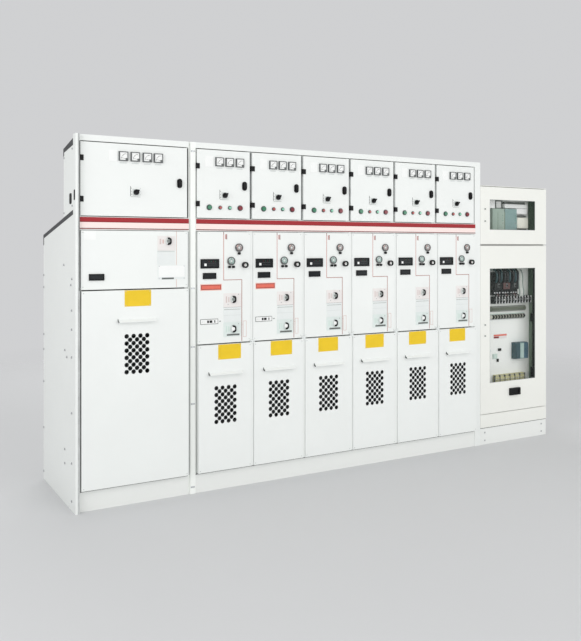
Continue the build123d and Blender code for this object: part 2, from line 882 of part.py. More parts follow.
with BuildPart() as supply_shelf:
    slab(supply_inside, (front + supply_door_gap, supply_rear - supply_wall), (shelf_low, shelf_high))
    pivot_pin(shelf_high, 1)
    pivot_pin(shelf_low, -1)
save(supply_shelf, "supply_shelf")

with BuildPart() as supply_bottom_panel:
    tray(supply_door_span, (supply_plinth_height, bottom_high), 0, supply_frame_setback)
    pivot_pin(bottom_high, 1)
save(supply_bottom_panel, "supply_bottom_panel")

# Supply doors: folded frames with a window, glass behind the skin, latches and a handle plate
window_margin = 107.0
window_far_margin = 138.0
upper_window_margin = 122.0
upper_window_head = 107.0
lower_window_margin = 258.0
lower_window_head = 193.0
glass_sheet = 4.0
glass_lap = 14.0
latch_radius = 6.0
latch_reach = 8.0
latch_shares = ((0.066, 0.4), (0.066, 0.61))
lower_latch_shares = ((0.066, 0.464), (0.066, 0.53))
handle_shares = (0.5, 0.115)
handle_size = (122.0, 62.0)
handle_reach = 18.0
handle_recess = 8.0
handle_wall = 9.0
window_span = (supply_door_span[0] + window_margin, supply_door_span[1] - window_far_margin)
upper_span = (shelf_high + supply_door_gap, supply_roof_low - supply_door_gap)
lower_span = (bottom_high + supply_door_gap, shelf_low - supply_door_gap)
upper_window = (upper_span[0] + upper_window_margin, upper_span[1] - upper_window_head)
lower_window = (lower_span[0] + lower_window_margin, lower_span[1] - lower_window_head)


def supply_door(z_span, window):
    """A folded door with a window and a bore for the pivots in its top and bottom returns."""
    with BuildPart() as door:
        tray(supply_door_span, z_span, 0, supply_door_fold)
        with BuildSketch(front_at(0)):
            with Locations((sum(window_span) / 2, sum(window) / 2)):
                Rectangle(window_span[1] - window_span[0], window[1] - window[0])
        extrude(amount=-sheet, mode=Mode.SUBTRACT)
        with Locations((*pivot, sum(z_span) / 2)):
            Cylinder(pivot_radius + pin_clearance, z_span[1] - z_span[0], mode=Mode.SUBTRACT)
    return door


def window_glass(window):
    """A pane behind the door's skin, lapping the window all round."""
    with BuildPart() as pane:
        with BuildSketch(front_at(-sheet)):
            with Locations((sum(window_span) / 2, sum(window) / 2)):
                wide = window_span[1] - window_span[0] + 2 * glass_lap
                Rectangle(wide, window[1] - window[0] + 2 * glass_lap)
        extrude(amount=-glass_sheet)
    return pane


def door_fittings(z_span, shares_list, with_handle):
    """Latch buttons at the free edge, and the sunk handle plate of the lower door."""
    with BuildPart() as fittings:
        for shares in shares_list:
            boss(within(supply_door_span, z_span, shares), latch_radius, 0, latch_reach)
        if with_handle:
            place = within(supply_door_span, z_span, handle_shares)
            block(place, handle_size, 0, handle_reach, taper=draft_angle)
            with BuildSketch(front_at(handle_reach)):
                with Locations(place):
                    Rectangle(handle_size[0] - 4 * handle_wall, handle_size[1] - 3 * handle_wall)
            extrude(amount=-handle_recess, mode=Mode.SUBTRACT)
    return fittings


save(supply_door(upper_span, upper_window), "supply_upper_door")
save(supply_door(lower_span, lower_window), "supply_lower_door")
save(window_glass(upper_window), "supply_upper_glass")
save(window_glass(lower_window), "supply_lower_glass")
save(door_fittings(upper_span, latch_shares, False), "supply_upper_fittings")
save(door_fittings(lower_span, lower_latch_shares, True), "supply_lower_fittings")

# Inside the supply cabinet: cross rails, mounting plates and the devices on them
mount_setback = 130.0
mount_sheet = 3.0
mount_margin = 40.0
mount_far_margin = 70.0
mount_rail = 25.0
mount_front = front + mount_setback
mount_back = mount_front + mount_sheet
mount_span = (supply_left + mount_margin, supply_right - mount_far_margin)
mount_levels = [(low + mount_margin, high - mount_margin) for low, high in (lower_span, upper_span)]
with BuildPart() as supply_rails:
    for low, high in mount_levels:
        for level in (low + mount_rail, high - mount_rail):
            rail_span = (level - mount_rail / 2, level + mount_rail / 2)
            slab(supply_inside, (mount_back, mount_back + mount_rail), rail_span)
save(supply_rails, "supply_rails")

with BuildPart() as supply_mounting_plates:
    for level_span in mount_levels:
        slab(mount_span, (mount_front, mount_back), level_span)
save(supply_mounting_plates, "supply_mounting_plates")

# Each bank of devices: a block's size, how many stand in the row, their pitch and their reach
breaker_size = (92.0, 200.0)
breaker_pitch = 98.0
breaker_reach = 60.0
switch_size = (33.0, 62.0)
switch_pitch = 35.0
switch_count = 13
switch_body_reach = 40.0
terminal_strip = (405.0, 46.0)
fuse_size = (24.0, 34.0)
fuse_pitch = 33.5
fuse_count = 12
strip_reach = 30.0
converter_size = (150.0, 145.0)
converter_reach = 55.0
earth_size = (50.0, 80.0)
earth_pitch = 60.0
earth_count = 6
module_size = (144.0, 185.0)
module_pitch = 148.0
module_reach = 60.0
box_size = (136.0, 95.0)
box_reach = 45.0
nose_share = 0.5
breaker_shares = (0.494, 0.784)
switch_shares = (0.634, 0.677)
strip_shares = (0.59, 0.619)
fuse_shares = (0.5855, 0.567)
converter_shares = (0.78, 0.339)
earth_shares = (0.6, 0.16)
module_shares = (0.459, 0.435)
box_shares = (0.802, 0.366)
lower_mount = (mount_span, mount_levels[0])
upper_mount = (mount_span, mount_levels[1])


def device_row(mount, shares, size, count, pitch, reach):
    """A row of like devices on a mounting plate, each with a raised nose, in the part being built."""
    with BuildSketch(front_at(-mount_setback)) as bodies:
        with Locations(within(*mount, shares)):
            with GridLocations(pitch, pitch, count, 1):
                Rectangle(*size)
    extrude(bodies.sketch, amount=reach * (1 - nose_share / 2))
    with BuildSketch(front_at(-mount_setback)) as noses:
        with Locations(within(*mount, shares)):
            with GridLocations(pitch, pitch, count, 1):
                Rectangle(size[0], size[1] * nose_share)
    extrude(noses.sketch, amount=reach)


with BuildPart() as supply_devices:
    device_row(lower_mount, breaker_shares, breaker_size, 3, breaker_pitch, breaker_reach)
    device_row(lower_mount, switch_shares, switch_size, switch_count, switch_pitch, switch_body_reach)
    device_row(lower_mount, strip_shares, terminal_strip, 1, terminal_strip[0], strip_reach)
    device_row(lower_mount, fuse_shares, fuse_size, fuse_count, fuse_pitch, strip_reach)
    device_row(lower_mount, converter_shares, converter_size, 1, converter_size[0], converter_reach)
    device_row(lower_mount, earth_shares, earth_size, earth_count, earth_pitch, strip_reach)
    device_row(upper_mount, module_shares, module_size, 2, module_pitch, module_reach)
    device_row(upper_mount, box_shares, box_size, 1, box_size[0], box_reach)
save(supply_devices, "supply_devices")
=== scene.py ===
import math
from functools import partial

import bmesh
import bpy
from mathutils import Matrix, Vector


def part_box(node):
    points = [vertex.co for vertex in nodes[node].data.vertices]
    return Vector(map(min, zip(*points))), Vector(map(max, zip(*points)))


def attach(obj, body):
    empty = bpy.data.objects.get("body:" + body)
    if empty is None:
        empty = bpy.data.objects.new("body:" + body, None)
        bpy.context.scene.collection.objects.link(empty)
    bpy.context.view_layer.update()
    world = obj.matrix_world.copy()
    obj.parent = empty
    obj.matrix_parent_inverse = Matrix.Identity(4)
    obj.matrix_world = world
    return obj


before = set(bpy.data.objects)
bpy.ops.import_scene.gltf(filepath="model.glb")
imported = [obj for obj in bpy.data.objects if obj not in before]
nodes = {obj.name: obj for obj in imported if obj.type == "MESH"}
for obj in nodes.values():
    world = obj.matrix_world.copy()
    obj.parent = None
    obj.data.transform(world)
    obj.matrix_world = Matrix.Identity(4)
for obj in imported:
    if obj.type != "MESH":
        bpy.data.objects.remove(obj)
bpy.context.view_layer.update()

# Lengths here are in millimetres; each mesh is brought to metres when it becomes a piece
MM = 0.001
ROOT = "line_up"
UNITS = 6
UNIT_WIDTH = 420
PANEL_MARGIN = 10
PANEL_SEAT = 4
UNIT_JOINT = 1005
METERING_JOINT = 1395
FRONT_WARD = (0, -1, 0)
LEFT_WARD = (-1, 0, 0)
BACK_WARD = (0, 1, 0)


def corners(node):
    """The lowest and highest corners of a CAD node, in millimetres."""
    low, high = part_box(node)
    return low / MM, high / MM


# Where the CAD pieces stand
LEFT_END = corners("front_posts")[0].x
DOOR_NAMES = ["metering"] + [f"unit_{index + 1}" for index in range(UNITS)]
DOORS = [corners(f"{name}_lv_door") for name in DOOR_NAMES]
DOOR_FACE = DOORS[0][0].y
DOOR_LOW, DOOR_HIGH = DOORS[0][0].z, DOORS[0][1].z
METERING_LEFT, METERING_RIGHT = DOORS[0][0].x - PANEL_MARGIN, DOORS[0][1].x + PANEL_MARGIN
UNIT_LEFTS = [low.x - PANEL_MARGIN for low, high in DOORS[1:]]
UNITS_LEFT, UNITS_RIGHT = UNIT_LEFTS[0], UNIT_LEFTS[-1] + UNIT_WIDTH
INNER_BOUNDS = UNIT_LEFTS[1:]
RUNS = ((METERING_LEFT, METERING_RIGHT), (UNITS_LEFT, UNITS_RIGHT))
COVER_FACE, COVER_LOW = corners("cable_covers")[0].y, corners("cable_covers")[0].z
MECH_FACE, MECH_HIGH = corners("mechanism_panels")[0].y, corners("mechanism_panels")[1].z
UNIT_MECH = (UNIT_JOINT + PANEL_SEAT, MECH_HIGH)
METERING_MECH = (METERING_JOINT + PANEL_SEAT, MECH_HIGH)
BAND_FACE = corners("busbar_band")[0].y
NOSE_FACE = corners("front_stiles")[0].y
PLINTH_FACE = corners("plinth_long_rails")[0].y
REAR = corners("back_panels")[1].y
SUPPLY_LEFT, SUPPLY_RIGHT = SUPPLY_X = (corners("supply_roof")[0].x, corners("supply_roof")[1].x)
SUPPLY_REAR = corners("supply_roof")[1].y

# Each cabinet's sides and the height of the joint over its cable cover
FRONTS = [(RUNS[0], METERING_JOINT)]
FRONTS += [((left, left + UNIT_WIDTH), UNIT_JOINT) for left in UNIT_LEFTS]


# Spans and places


def shift(span, start):
    """A span moved by a start."""
    return (span[0] + start, span[1] + start)


def inset(span, margin):
    """A span drawn in by a margin at both ends."""
    return (span[0] + margin, span[1] - margin)


def around(place, wide, tall):
    """The two spans of a rectangle of a size round a place (x, z)."""
    return (place[0] - wide / 2, place[0] + wide / 2), (place[1] - tall / 2, place[1] + tall / 2)


def within(x_span, z_span, shares):
    """A place (x, z) given as shares of a panel's width and height."""
    return tuple(low + share * (high - low) for (low, high), share in zip((x_span, z_span), shares))


def polar(centre, reach, degrees):
    """A place (x, z) at a distance and an angle from a centre."""
    angle = math.radians(degrees)
    return (centre[0] + reach * math.cos(angle), centre[1] + reach * math.sin(angle))


def row(count, pitch):
    """Offsets of like things, evenly spaced about the middle of their row."""
    return [(step - (count - 1) / 2) * pitch for step in range(count)]


# Finishes

DUST_COLOUR = (0.42, 0.40, 0.36, 1)
DUST_RISE = 0.22


def linear(red, green, blue):
    """A screen colour of 0 to 255 as linear light."""
    shares = (red / 255, green / 255, blue / 255)
    return tuple(share / 12.92 if share <= 0.04045 else ((share + 0.055) / 1.055) ** 2.4 for share in shares)


def node_of(tree, kind, **inputs):
    """A shader node of a kind, with its input values set."""
    made = tree.nodes.new(f"ShaderNode{kind}")
    for key, value in inputs.items():
        made.inputs[key.replace("_", " ")].default_value = value
    return made


def join(source, out, target, into):
    """Links an output of one shader node to an input of another."""
    source.id_data.links.new(source.outputs[out], target.inputs[into])


def add_dust(tree, place, broad, ramp, most):
    """A patchy grey veil near the floor, laid over a ramp's colour."""
    split = node_of(tree, "SeparateXYZ")
    join(place, "Object", split, "Vector")
    near_floor = node_of(tree, "MapRange", From_Min=0.0, From_Max=DUST_RISE, To_Min=most, To_Max=0.0)
    join(split, "Z", near_floor, "Value")
    patchy = node_of(tree, "Math")
    patchy.operation = "MULTIPLY"
    join(near_floor, "Result", patchy, 0)
    join(broad, "Fac", patchy, 1)
    dusty = node_of(tree, "Mix")
    dusty.data_type = "RGBA"
    join(patchy, "Value", dusty, "Factor")
    join(ramp, "Color", dusty, "A")
    dusty.inputs["B"].default_value = DUST_COLOUR
    return dusty


def surface(name, colour, roughness, metallic=0.0, tone=0.04, patch=20.0, grain=1100.0, relief=0.04,
            stretch=(1.0, 1.0, 1.0), dust=0.0, coat=0.0, spread=0.08, specular=0.5):
    """A procedural finish: broad changes of tone, fine changes of gloss, and a fine relief."""
    made = bpy.data.materials.new(name)
    made.use_nodes = True
    tree = made.node_tree
    bsdf = tree.nodes["Principled BSDF"]
    bsdf.inputs["Metallic"].default_value = metallic
    bsdf.inputs["Specular IOR Level"].default_value = specular
    bsdf.inputs["Coat Weight"].default_value = coat
    bsdf.inputs["Coat Roughness"].default_value = roughness / 2
    place = node_of(tree, "TexCoord")
    mapping = node_of(tree, "Mapping", Scale=stretch)
    join(place, "Object", mapping, "Vector")
    broad = node_of(tree, "TexNoise", Scale=patch, Detail=5.0, Roughness=0.6)
    fine = node_of(tree, "TexNoise", Scale=grain, Detail=2.0, Roughness=0.5)
    for texture in (broad, fine):
        join(mapping, "Vector", texture, "Vector")
    ramp = node_of(tree, "ValToRGB")
    dark, light = ramp.color_ramp.elements
    dark.position, light.position = 0.3, 0.7
    dark.color = (*[max(0.0, part * (1 - tone)) for part in colour], 1)
    light.color = (*[min(1.0, part * (1 + tone)) for part in colour], 1)
    join(broad, "Fac", ramp, "Fac")
    if dust:
        join(add_dust(tree, place, broad, ramp, dust), "Result", bsdf, "Base Color")
    else:
        join(ramp, "Color", bsdf, "Base Color")
    gloss = node_of(tree, "MapRange", From_Min=0.25, From_Max=0.75,
                    To_Min=max(0.03, roughness - spread), To_Max=min(1.0, roughness + spread))
    join(fine, "Fac", gloss, "Value")
    join(gloss, "Result", bsdf, "Roughness")
    bump = node_of(tree, "Bump", Strength=relief, Distance=0.0006)
    join(fine, "Fac", bump, "Height")
    join(bump, "Normal", bsdf, "Normal")
    return made


# Kinds of finish: painted sheet, moulded plastic or rubber, plated or plain metal, and print
powder_coat = partial(surface, tone=0.012, patch=2.5, grain=900)
moulded = partial(surface, tone=0.14, patch=40, grain=1400, relief=0.07)
bare_metal = partial(surface, metallic=0.9, tone=0.12, patch=60, grain=900)
printed = partial(surface, specular=0.28)

CABINET = powder_coat("cabinet_white", (0.85, 0.872, 0.856), 0.38, relief=0.05, dust=0.10)
SUPPLY = powder_coat("supply_white", (0.86, 0.865, 0.82), 0.42, relief=0.08, dust=0.10)
PLINTH = powder_coat("plinth_white", (0.855, 0.872, 0.852), 0.45, relief=0.07, dust=0.16)
# Whiter than the cabinet: the mounting plates' own white, raised as painted light against the shade inside
# the cabinet
BRIGHTENED_WHITE = powder_coat("mount_white", (0.92, 0.94, 0.91), 0.45)
GALVANISED = bare_metal("galvanised", (0.60, 0.62, 0.63), 0.42, tone=0.14, patch=38, grain=260)
TANK = bare_metal("tank_steel", (0.52, 0.54, 0.55), 0.40, tone=0.06, patch=9, grain=420, stretch=(1, 1, 9))
STEEL = bare_metal("port_steel", (0.55, 0.56, 0.56), 0.30, metallic=1.0)
ZINC = bare_metal("zinc_bolt", (0.50, 0.51, 0.52), 0.38, tone=0.16, patch=90)
BLACK = moulded("black_plastic", (0.009, 0.009, 0.010), 0.48, tone=0.20, specular=0.2)
RUBBER = moulded("dark_seal", (0.020, 0.021, 0.022), 0.72, tone=0.25, relief=0.12, specular=0.25)
GAP = moulded("gap_grey", (0.36, 0.38, 0.38), 0.75, tone=0.12, patch=14, specular=0.3)
# Dark grey of joints, also painted shade in the gaps beside the metering door and under the proud covers
JOINT_SHADE = moulded("joint_dark", (0.115, 0.12, 0.118), 0.75, tone=0.16, patch=14, specular=0.3)
# Grey of the seal beside the left post, toned as the shade of its gap: painted shade
SEAL_SHADE = moulded("post_seal", (0.54, 0.555, 0.55), 0.70, tone=0.16, patch=12, specular=0.3)
# Dark of the edge trims and of the lips along the sloping tops of the ends: painted shade under the roof edge
TRIM_SHADE = moulded("trim_dark", (0.045, 0.047, 0.05), 0.60, tone=0.35, patch=22, grain=500, relief=0.18)
BEZEL = moulded("meter_bezel", (0.085, 0.092, 0.095), 0.38)
RIM = moulded("button_rim", (0.10, 0.105, 0.11), 0.32, metallic=0.5)
GREY_RIM = moulded("indicator_rim", (0.10, 0.104, 0.104), 0.38, metallic=0.3)
DISPLAY = moulded("display_black", (0.010, 0.011, 0.012), 0.50, specular=0.14)
SCREEN = moulded("display_screen", (0.012, 0.015, 0.017), 0.25, tone=0.25, patch=18, relief=0, specular=0.14)
GREEN_CAP = moulded("green_cap", linear(46, 122, 88), 0.26, coat=0.3)
RED_CAP = moulded("red_cap", linear(124, 24, 40), 0.26, coat=0.3)
GREEN_LAMP = moulded("green_lamp", linear(138, 206, 176), 0.20, coat=0.4)
RED_LAMP = moulded("red_lamp", linear(178, 82, 78), 0.20, coat=0.4)
CARD = printed("meter_card", (0.88, 0.89, 0.88), 0.30, tone=0.012, patch=60, coat=0.3)
INK = printed("dial_ink", (0.020, 0.022, 0.024), 0.45, tone=0.20, patch=80)
FAINT_INK = printed("faint_ink", linear(150, 156, 152), 0.45, tone=0.08, patch=80)
BLANK = printed("blank_plate", (0.90, 0.91, 0.90), 0.28, tone=0.012, patch=30)
FRAME_LIGHT = printed("switch_plate", linear(214, 219, 217), 0.44, tone=0.03, patch=60)
RED_BAND = printed("red_band", linear(162, 36, 44), 0.44, tone=0.05, patch=5)
RED_EDGE = printed("red_edge", linear(132, 30, 38), 0.40, tone=0.06, patch=6)
PINK = printed("pink_strip", linear(250, 230, 226), 0.40, tone=0.012, patch=5)
BROWN_LINE = printed("brown_line", linear(138, 66, 62), 0.42, tone=0.08, patch=6)
MIMIC = printed("mimic_line", linear(196, 126, 120), 0.40, tone=0.06, patch=9)
MIMIC_DARK = printed("mimic_dark", linear(172, 120, 114), 0.40, tone=0.06, patch=9)
MIMIC_FAINT = printed("mimic_faint", linear(214, 182, 174), 0.40, tone=0.05, patch=9)
LABEL_RED = printed("label_red", linear(226, 112, 94), 0.44, tone=0.05, patch=30)
LABEL_LINE = printed("label_line", linear(168, 70, 62), 0.44, tone=0.05, patch=30)
BAR_PINK = printed("bar_pink", linear(214, 198, 195), 0.44, tone=0.03, patch=30)
LABEL_EDGE = printed("label_edge", linear(240, 200, 190), 0.44, patch=30)
YELLOW = printed("yellow_plate", linear(236, 199, 34), 0.44, patch=14)
PLATE_PINK = printed("plate_pink", linear(235, 231, 229), 0.44, tone=0.02)
PLATE_GREEN = printed("plate_green", linear(222, 231, 228), 0.44, tone=0.02)
PLATE_GREY = printed("plate_grey", linear(230, 234, 233), 0.44, tone=0.02)
PLATE_DARK = printed("plate_dark", linear(104, 108, 106), 0.42, tone=0.10, patch=30)
FACE_PINK = printed("indicator_pink", linear(168, 152, 150), 0.30, tone=0.10, patch=70, coat=0.4)
FACE_GREEN = printed("indicator_green", linear(158, 182, 175), 0.30, tone=0.10, patch=70, coat=0.4)
FLAG_GREEN = printed("flag_green", linear(44, 120, 84), 0.44, tone=0.08, patch=70)
OLIVE = moulded("terminal_olive", linear(106, 112, 98), 0.50)
OLIVE_YELLOW = moulded("earth_olive", linear(198, 194, 150), 0.50)
CONVERTER = moulded("converter_blue", linear(72, 100, 116), 0.36, patch=16)
CONVERTER_DARK = moulded("converter_dark", linear(52, 78, 86), 0.36, patch=16)
MODULE = moulded("module_green", linear(160, 178, 166), 0.45, tone=0.06, patch=16)
MODULE_BLUE = moulded("module_blue", linear(134, 162, 160), 0.45, tone=0.06, patch=16)
WHITE_BOX = moulded("box_white", linear(240, 240, 228), 0.42, tone=0.02, patch=16)
MINT = moulded("duct_mint", linear(206, 224, 216), 0.50, tone=0.03, patch=16)
# Dark green and a lit copy of it: painted shade and painted light beside the mounting plates; the lit copy
# also colours the partings of the modules
SHADE_GREEN = moulded("edge_green", linear(66, 90, 68), 0.45, tone=0.10, patch=12)
DARK_GREEN_LIT = moulded("edge_green_lit", linear(124, 142, 124), 0.45, tone=0.10, patch=12)
WIRE_BLACK = moulded("wire_black", (0.012, 0.012, 0.014), 0.40, patch=60)
WIRE_BLUE = moulded("wire_blue", linear(44, 72, 76), 0.40, patch=60)
WIRE_BROWN = moulded("wire_brown", linear(84, 54, 52), 0.40, patch=60)
WIRE_WHITE = moulded("wire_white", linear(228, 232, 226), 0.40, tone=0.04, patch=60)
WIRE_GREY = moulded("wire_grey", linear(148, 162, 156), 0.40, tone=0.06, patch=60)

# Window glass: a faint veil of tint with a glossy face
GLASS = surface("window_glass", (0.30, 0.36, 0.33), 0.05, tone=0.05, patch=3, grain=60, relief=0, spread=0.02)
GLASS.node_tree.nodes["Principled BSDF"].inputs["Alpha"].default_value = 0.03
GLASS.surface_render_method = "BLENDED"


# Forms that pieces are gathered from

SINK = 0.3
SHARP = math.radians(33)
MOST_SOFT_SHARE = 0.45
ROUTE_PARTS = 6
WIRE_SIDES = 8


def in_scene(name, data):
    """A new object that holds some data, linked to the scene."""
    made = bpy.data.objects.new(name, data)
    bpy.context.scene.collection.objects.link(made)
    return made


class Pile:
    """A mesh being gathered from many small forms, each with its own material."""

    def __init__(self):
        self.bm = bmesh.new()
        self.materials = []

    def take(self, form, material):
        """Adds a form's faces to the pile, sharp where they turn a corner."""
        if material not in self.materials:
            self.materials.append(material)
        for face in form.faces:
            face.material_index = self.materials.index(material)
            face.smooth = True
        for edge in form.edges:
            if len(edge.link_faces) == 2 and edge.calc_face_angle(0) > SHARP:
                edge.smooth = False
        scratch = bpy.data.meshes.new("scratch")
        form.to_mesh(scratch)
        form.free()
        self.bm.from_mesh(scratch)
        bpy.data.meshes.remove(scratch)

    def make(self, name, body):
        """Turns the pile into a piece, in metres, that rides on a body."""
        bmesh.ops.scale(self.bm, vec=(MM, MM, MM), verts=self.bm.verts[:])
        mesh = bpy.data.meshes.new(name)
        self.bm.to_mesh(mesh)
        self.bm.free()
        for material in self.materials:
            mesh.materials.append(material)
        piece = in_scene(name, mesh)
        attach(piece, body)


def bar(pile, x_span, y_span, z_span, material, edge):
    """A block between two corners with softened edges."""
    spans = (x_span, y_span, z_span)
    size = [high - low for low, high in spans]
    middle = Vector([(low + high) / 2 for low, high in spans])
    form = bmesh.new()
    bmesh.ops.create_cube(form, size=1.0)
    for vert in form.verts:
        vert.co = Vector([part * length for part, length in zip(vert.co, size)]) + middle
    soft = min(edge, min(size) * MOST_SOFT_SHARE)
    bmesh.ops.bevel(form, geom=form.edges[:], offset=soft, segments=1, affect="EDGES", profile=0.5)
    pile.take(form, material)


def plate(pile, x_span, z_span, face, thick, material, edge=0.3):
    """A thin plate lying on a front face."""
    bar(pile, x_span, (face - thick, face + SINK), z_span, material, edge)


def plates(pile, place, face, rows):
    """Plates laid out from a place (x, z): across, rise, width, height, thickness, material, perhaps edge."""
    for across, rise, wide, tall, thick, material, *edge in rows:
        middle = (place[0] + across, place[1] + rise)
        plate(pile, *around(middle, wide, tall), face, thick, material, *edge)


def skin(pile, rings, material):
    """Closes a row of rings of points into one skin, with a cap at each end."""
    form = bmesh.new()
    rings = [[form.verts.new(point) for point in ring] for ring in rings]
    sides = len(rings[0])
    for lower, upper in zip(rings, rings[1:]):
        for step in range(sides):
            after = (step + 1) % sides
            form.faces.new((lower[step], lower[after], upper[after], upper[step]))
    form.faces.new(list(reversed(rings[0])))
    form.faces.new(rings[-1])
    bmesh.ops.recalc_face_normals(form, faces=form.faces[:])
    pile.take(form, material)


def turns(sides, phase=0.0):
    """Evenly spaced angles round a full turn."""
    return [phase + 2 * math.pi * step / sides for step in range(sides)]


def turned(pile, origin, axis, steps, material, sides, phase=0.0):
    """A turned form on an axis, from steps of (radius, height)."""
    turn = Vector((0, 0, 1)).rotation_difference(Vector(axis)).to_matrix()
    rings = []
    for radius, rise in steps:
        ring = [(radius * math.cos(angle), radius * math.sin(angle), rise) for angle in turns(sides, phase)]
        rings.append([Vector(origin) + turn @ Vector(point) for point in ring])
    skin(pile, rings, material)


def stud(pile, place, face, radius, reach, material, sides=18):
    """A small round head on a front face, its rim eased."""
    steps = [(radius, -SINK), (radius, reach * 0.7), (radius * 0.75, reach)]
    turned(pile, (place[0], face, place[1]), FRONT_WARD, steps, material, sides)


def strip(pile, start, end, width, face, thick, material):
    """A straight painted line between two points (x, z) of a front face."""
    a, b = Vector(start), Vector(end)
    along = (b - a).normalized()
    across = Vector((-along.y, along.x)) * width / 2
    outline = (a + across, b + across, b - across, a - across)
    skin(pile, [[(x, y, z) for x, z in outline] for y in (face + SINK, face - thick)], material)


def lines(pile, place, face, thick, rows):
    """Painted lines laid out from a place (x, z), as rows of start, end, width and material."""
    for (x0, z0), (x1, z1), width, material in rows:
        start, end = (place[0] + x0, place[1] + z0), (place[0] + x1, place[1] + z1)
        strip(pile, start, end, width, face, thick, material)


def arc(pile, centre, radius, width, angles, face, thick, material, parts=14):
    """A painted arc on a front face, from one angle to another in degrees."""
    front, back = face - thick, face + SINK
    rings = []
    for step in range(parts + 1):
        degrees = angles[0] + (angles[1] - angles[0]) * step / parts
        x0, z0 = polar(centre, radius - width / 2, degrees)
        x1, z1 = polar(centre, radius + width / 2, degrees)
        rings.append([(x0, front, z0), (x1, front, z1), (x1, back, z1), (x0, back, z0)])
    skin(pile, rings, material)


def smooth_route(points):
    """Points along a smooth curve that follows the given ones."""
    curve = bpy.data.curves.new("route", "CURVE")
    curve.dimensions = "3D"
    curve.resolution_u = ROUTE_PARTS
    spline = curve.splines.new("NURBS")
    spline.points.add(len(points) - 1)
    for knot, point in zip(spline.points, points):
        knot.co = (*point, 1)
    spline.order_u = 3
    spline.use_endpoint_u = True
    holder = in_scene("route", curve)
    depsgraph = bpy.context.evaluated_depsgraph_get()
    mesh = bpy.data.meshes.new_from_object(holder.evaluated_get(depsgraph))
    route = [vert.co.copy() for vert in mesh.vertices]
    bpy.data.meshes.remove(mesh)
    bpy.data.objects.remove(holder)
    bpy.data.curves.remove(curve)
    return route


def strand(pile, points, radius, material):
    """A round wire along a smooth route."""
    route = smooth_route(points)
    normal = (route[1] - route[0]).orthogonal().normalized()
    rings = []
    for step, point in enumerate(route):
        along = (route[min(step + 1, len(route) - 1)] - route[max(step - 1, 0)]).normalized()
        normal = (normal - along * normal.dot(along)).normalized()
        other = along.cross(normal)
        spokes = [math.cos(angle) * normal + math.sin(angle) * other for angle in turns(WIRE_SIDES)]
        rings.append([point + radius * spoke for spoke in spokes])
    skin(pile, rings, material)


def bolt(pile, origin, axis, radius):
    """A hexagon head on a washer."""
    washer = [(radius * 1.5, -SINK), (radius * 1.5, 1.2), (radius * 1.3, 1.6)]
    turned(pile, origin, axis, washer, ZINC, 20)
    head = [(radius, 1.0), (radius, radius * 0.75), (radius * 0.82, radius * 0.9)]
    turned(pile, origin, axis, head, ZINC, 6, 0.3)


def bolt_rows(pile, x_span, margin, y, heights, axis, radius=5):
    """Bolts down both sides of a panel."""
    for x in inset(x_span, margin):
        for z in heights:
            bolt(pile, (x, y, z), axis, radius)


def screw(pile, place, face, radius, material=ZINC):
    """A domed head on a front face, with a dark cross slot."""
    dome = [(radius * share, radius * rise) for share, rise in ((1, 0.2), (0.8, 0.42), (0.45, 0.56))]
    turned(pile, (place[0], face, place[1]), FRONT_WARD, [(radius, -SINK), *dome], material, 16)
    slot_face = face - radius * 0.3 - SINK
    for slant in (-1, 1):
        tip = Vector((1, slant)).normalized() * radius * 0.42
        ends = (Vector(place) - tip, Vector(place) + tip)
        strip(pile, *ends, radius * 0.18, slot_face, radius * 0.275 - SINK, PLATE_DARK)


# Finishes of the CAD nodes

NODE_FINISHES = {
    SUPPLY: ("supply_walls", "supply_back", "supply_roof", "supply_shelf", "supply_bottom_panel",
             "supply_upper_door", "supply_lower_door"),
    BRIGHTENED_WHITE: ("supply_mounting_plates",),
    PLINTH: ("plinth_long_rails", "plinth_cross_rails"),
    GALVANISED: ("side_walls", "lv_partitions", "lv_floors", "supply_rails"),
    TANK: ("switch_tanks",),
    DISPLAY: ("displays",),
    BLACK: ("hinge_brackets",),
    FAINT_INK: ("supply_upper_fittings",),
    GLASS: ("supply_upper_glass", "supply_lower_glass"),
}
LATCH_HIGH = 640


def paint(node, base, rules=()):
    """Gives a CAD node its materials; each rule is (test on a face's middle, material)."""
    mesh = nodes[node].data
    mesh.materials.clear()
    for material in (base, *[material for test, material in rules]):
        mesh.materials.append(material)
    for polygon in mesh.polygons:
        polygon.material_index = 0
        middle = polygon.center / MM
        for number, (test, material) in enumerate(rules):
            if test(middle):
                polygon.material_index = number + 1
                break


def near(place, wide, tall, behind=-math.inf):
    """A test for faces inside a rectangle round a place (x, z), and no further forward than a depth."""
    def test(middle):
        beside = abs(middle.x - place[0]) < wide / 2 and abs(middle.z - place[1]) < tall / 2
        return beside and middle.y > behind
    return test


def round_near(place, radius, ahead=math.inf):
    """A test for faces within a circle round a place (x, z), and no further back than a depth."""
    return lambda middle: math.hypot(middle.x - place[0], middle.z - place[1]) < radius and middle.y < ahead


def on_post_seal_shade(middle):
    """A test for the faces of the upright seal beside the left post, whose grey is painted shade for its gap.
    """
    return middle.y < DOOR_FACE + 31 and LEFT_END + 14 < middle.x < METERING_LEFT + 1


for node in nodes:
    paint(node, CABINET)
for finish, names in NODE_FINISHES.items():
    for node in names:
        paint(node, finish)
# The edge trims take the dark as painted shade under the roof edge, and the seal beside the left post takes
# its grey as painted shade of its gap
paint("edge_trims", TRIM_SHADE, [(on_post_seal_shade, SEAL_SHADE)])
# The joint strip of the posts takes the brightened white: painted light against the shade of its recess
paint("front_posts", CABINET, [(lambda middle: METERING_RIGHT - 1 < middle.x < UNITS_LEFT + 1, BRIGHTENED_WHITE)])
# The left side of the metering door is painted dark: painted shade for the gap beside it
paint("metering_lv_door", CABINET, [(lambda middle: middle.x < METERING_LEFT + PANEL_MARGIN + 1, JOINT_SHADE)])
paint("supply_lower_fittings", BLACK, [(lambda middle: middle.z > LATCH_HIGH, FAINT_INK)])

# The low-voltage doors: where things stand as shares of a door's width and height, and their sizes

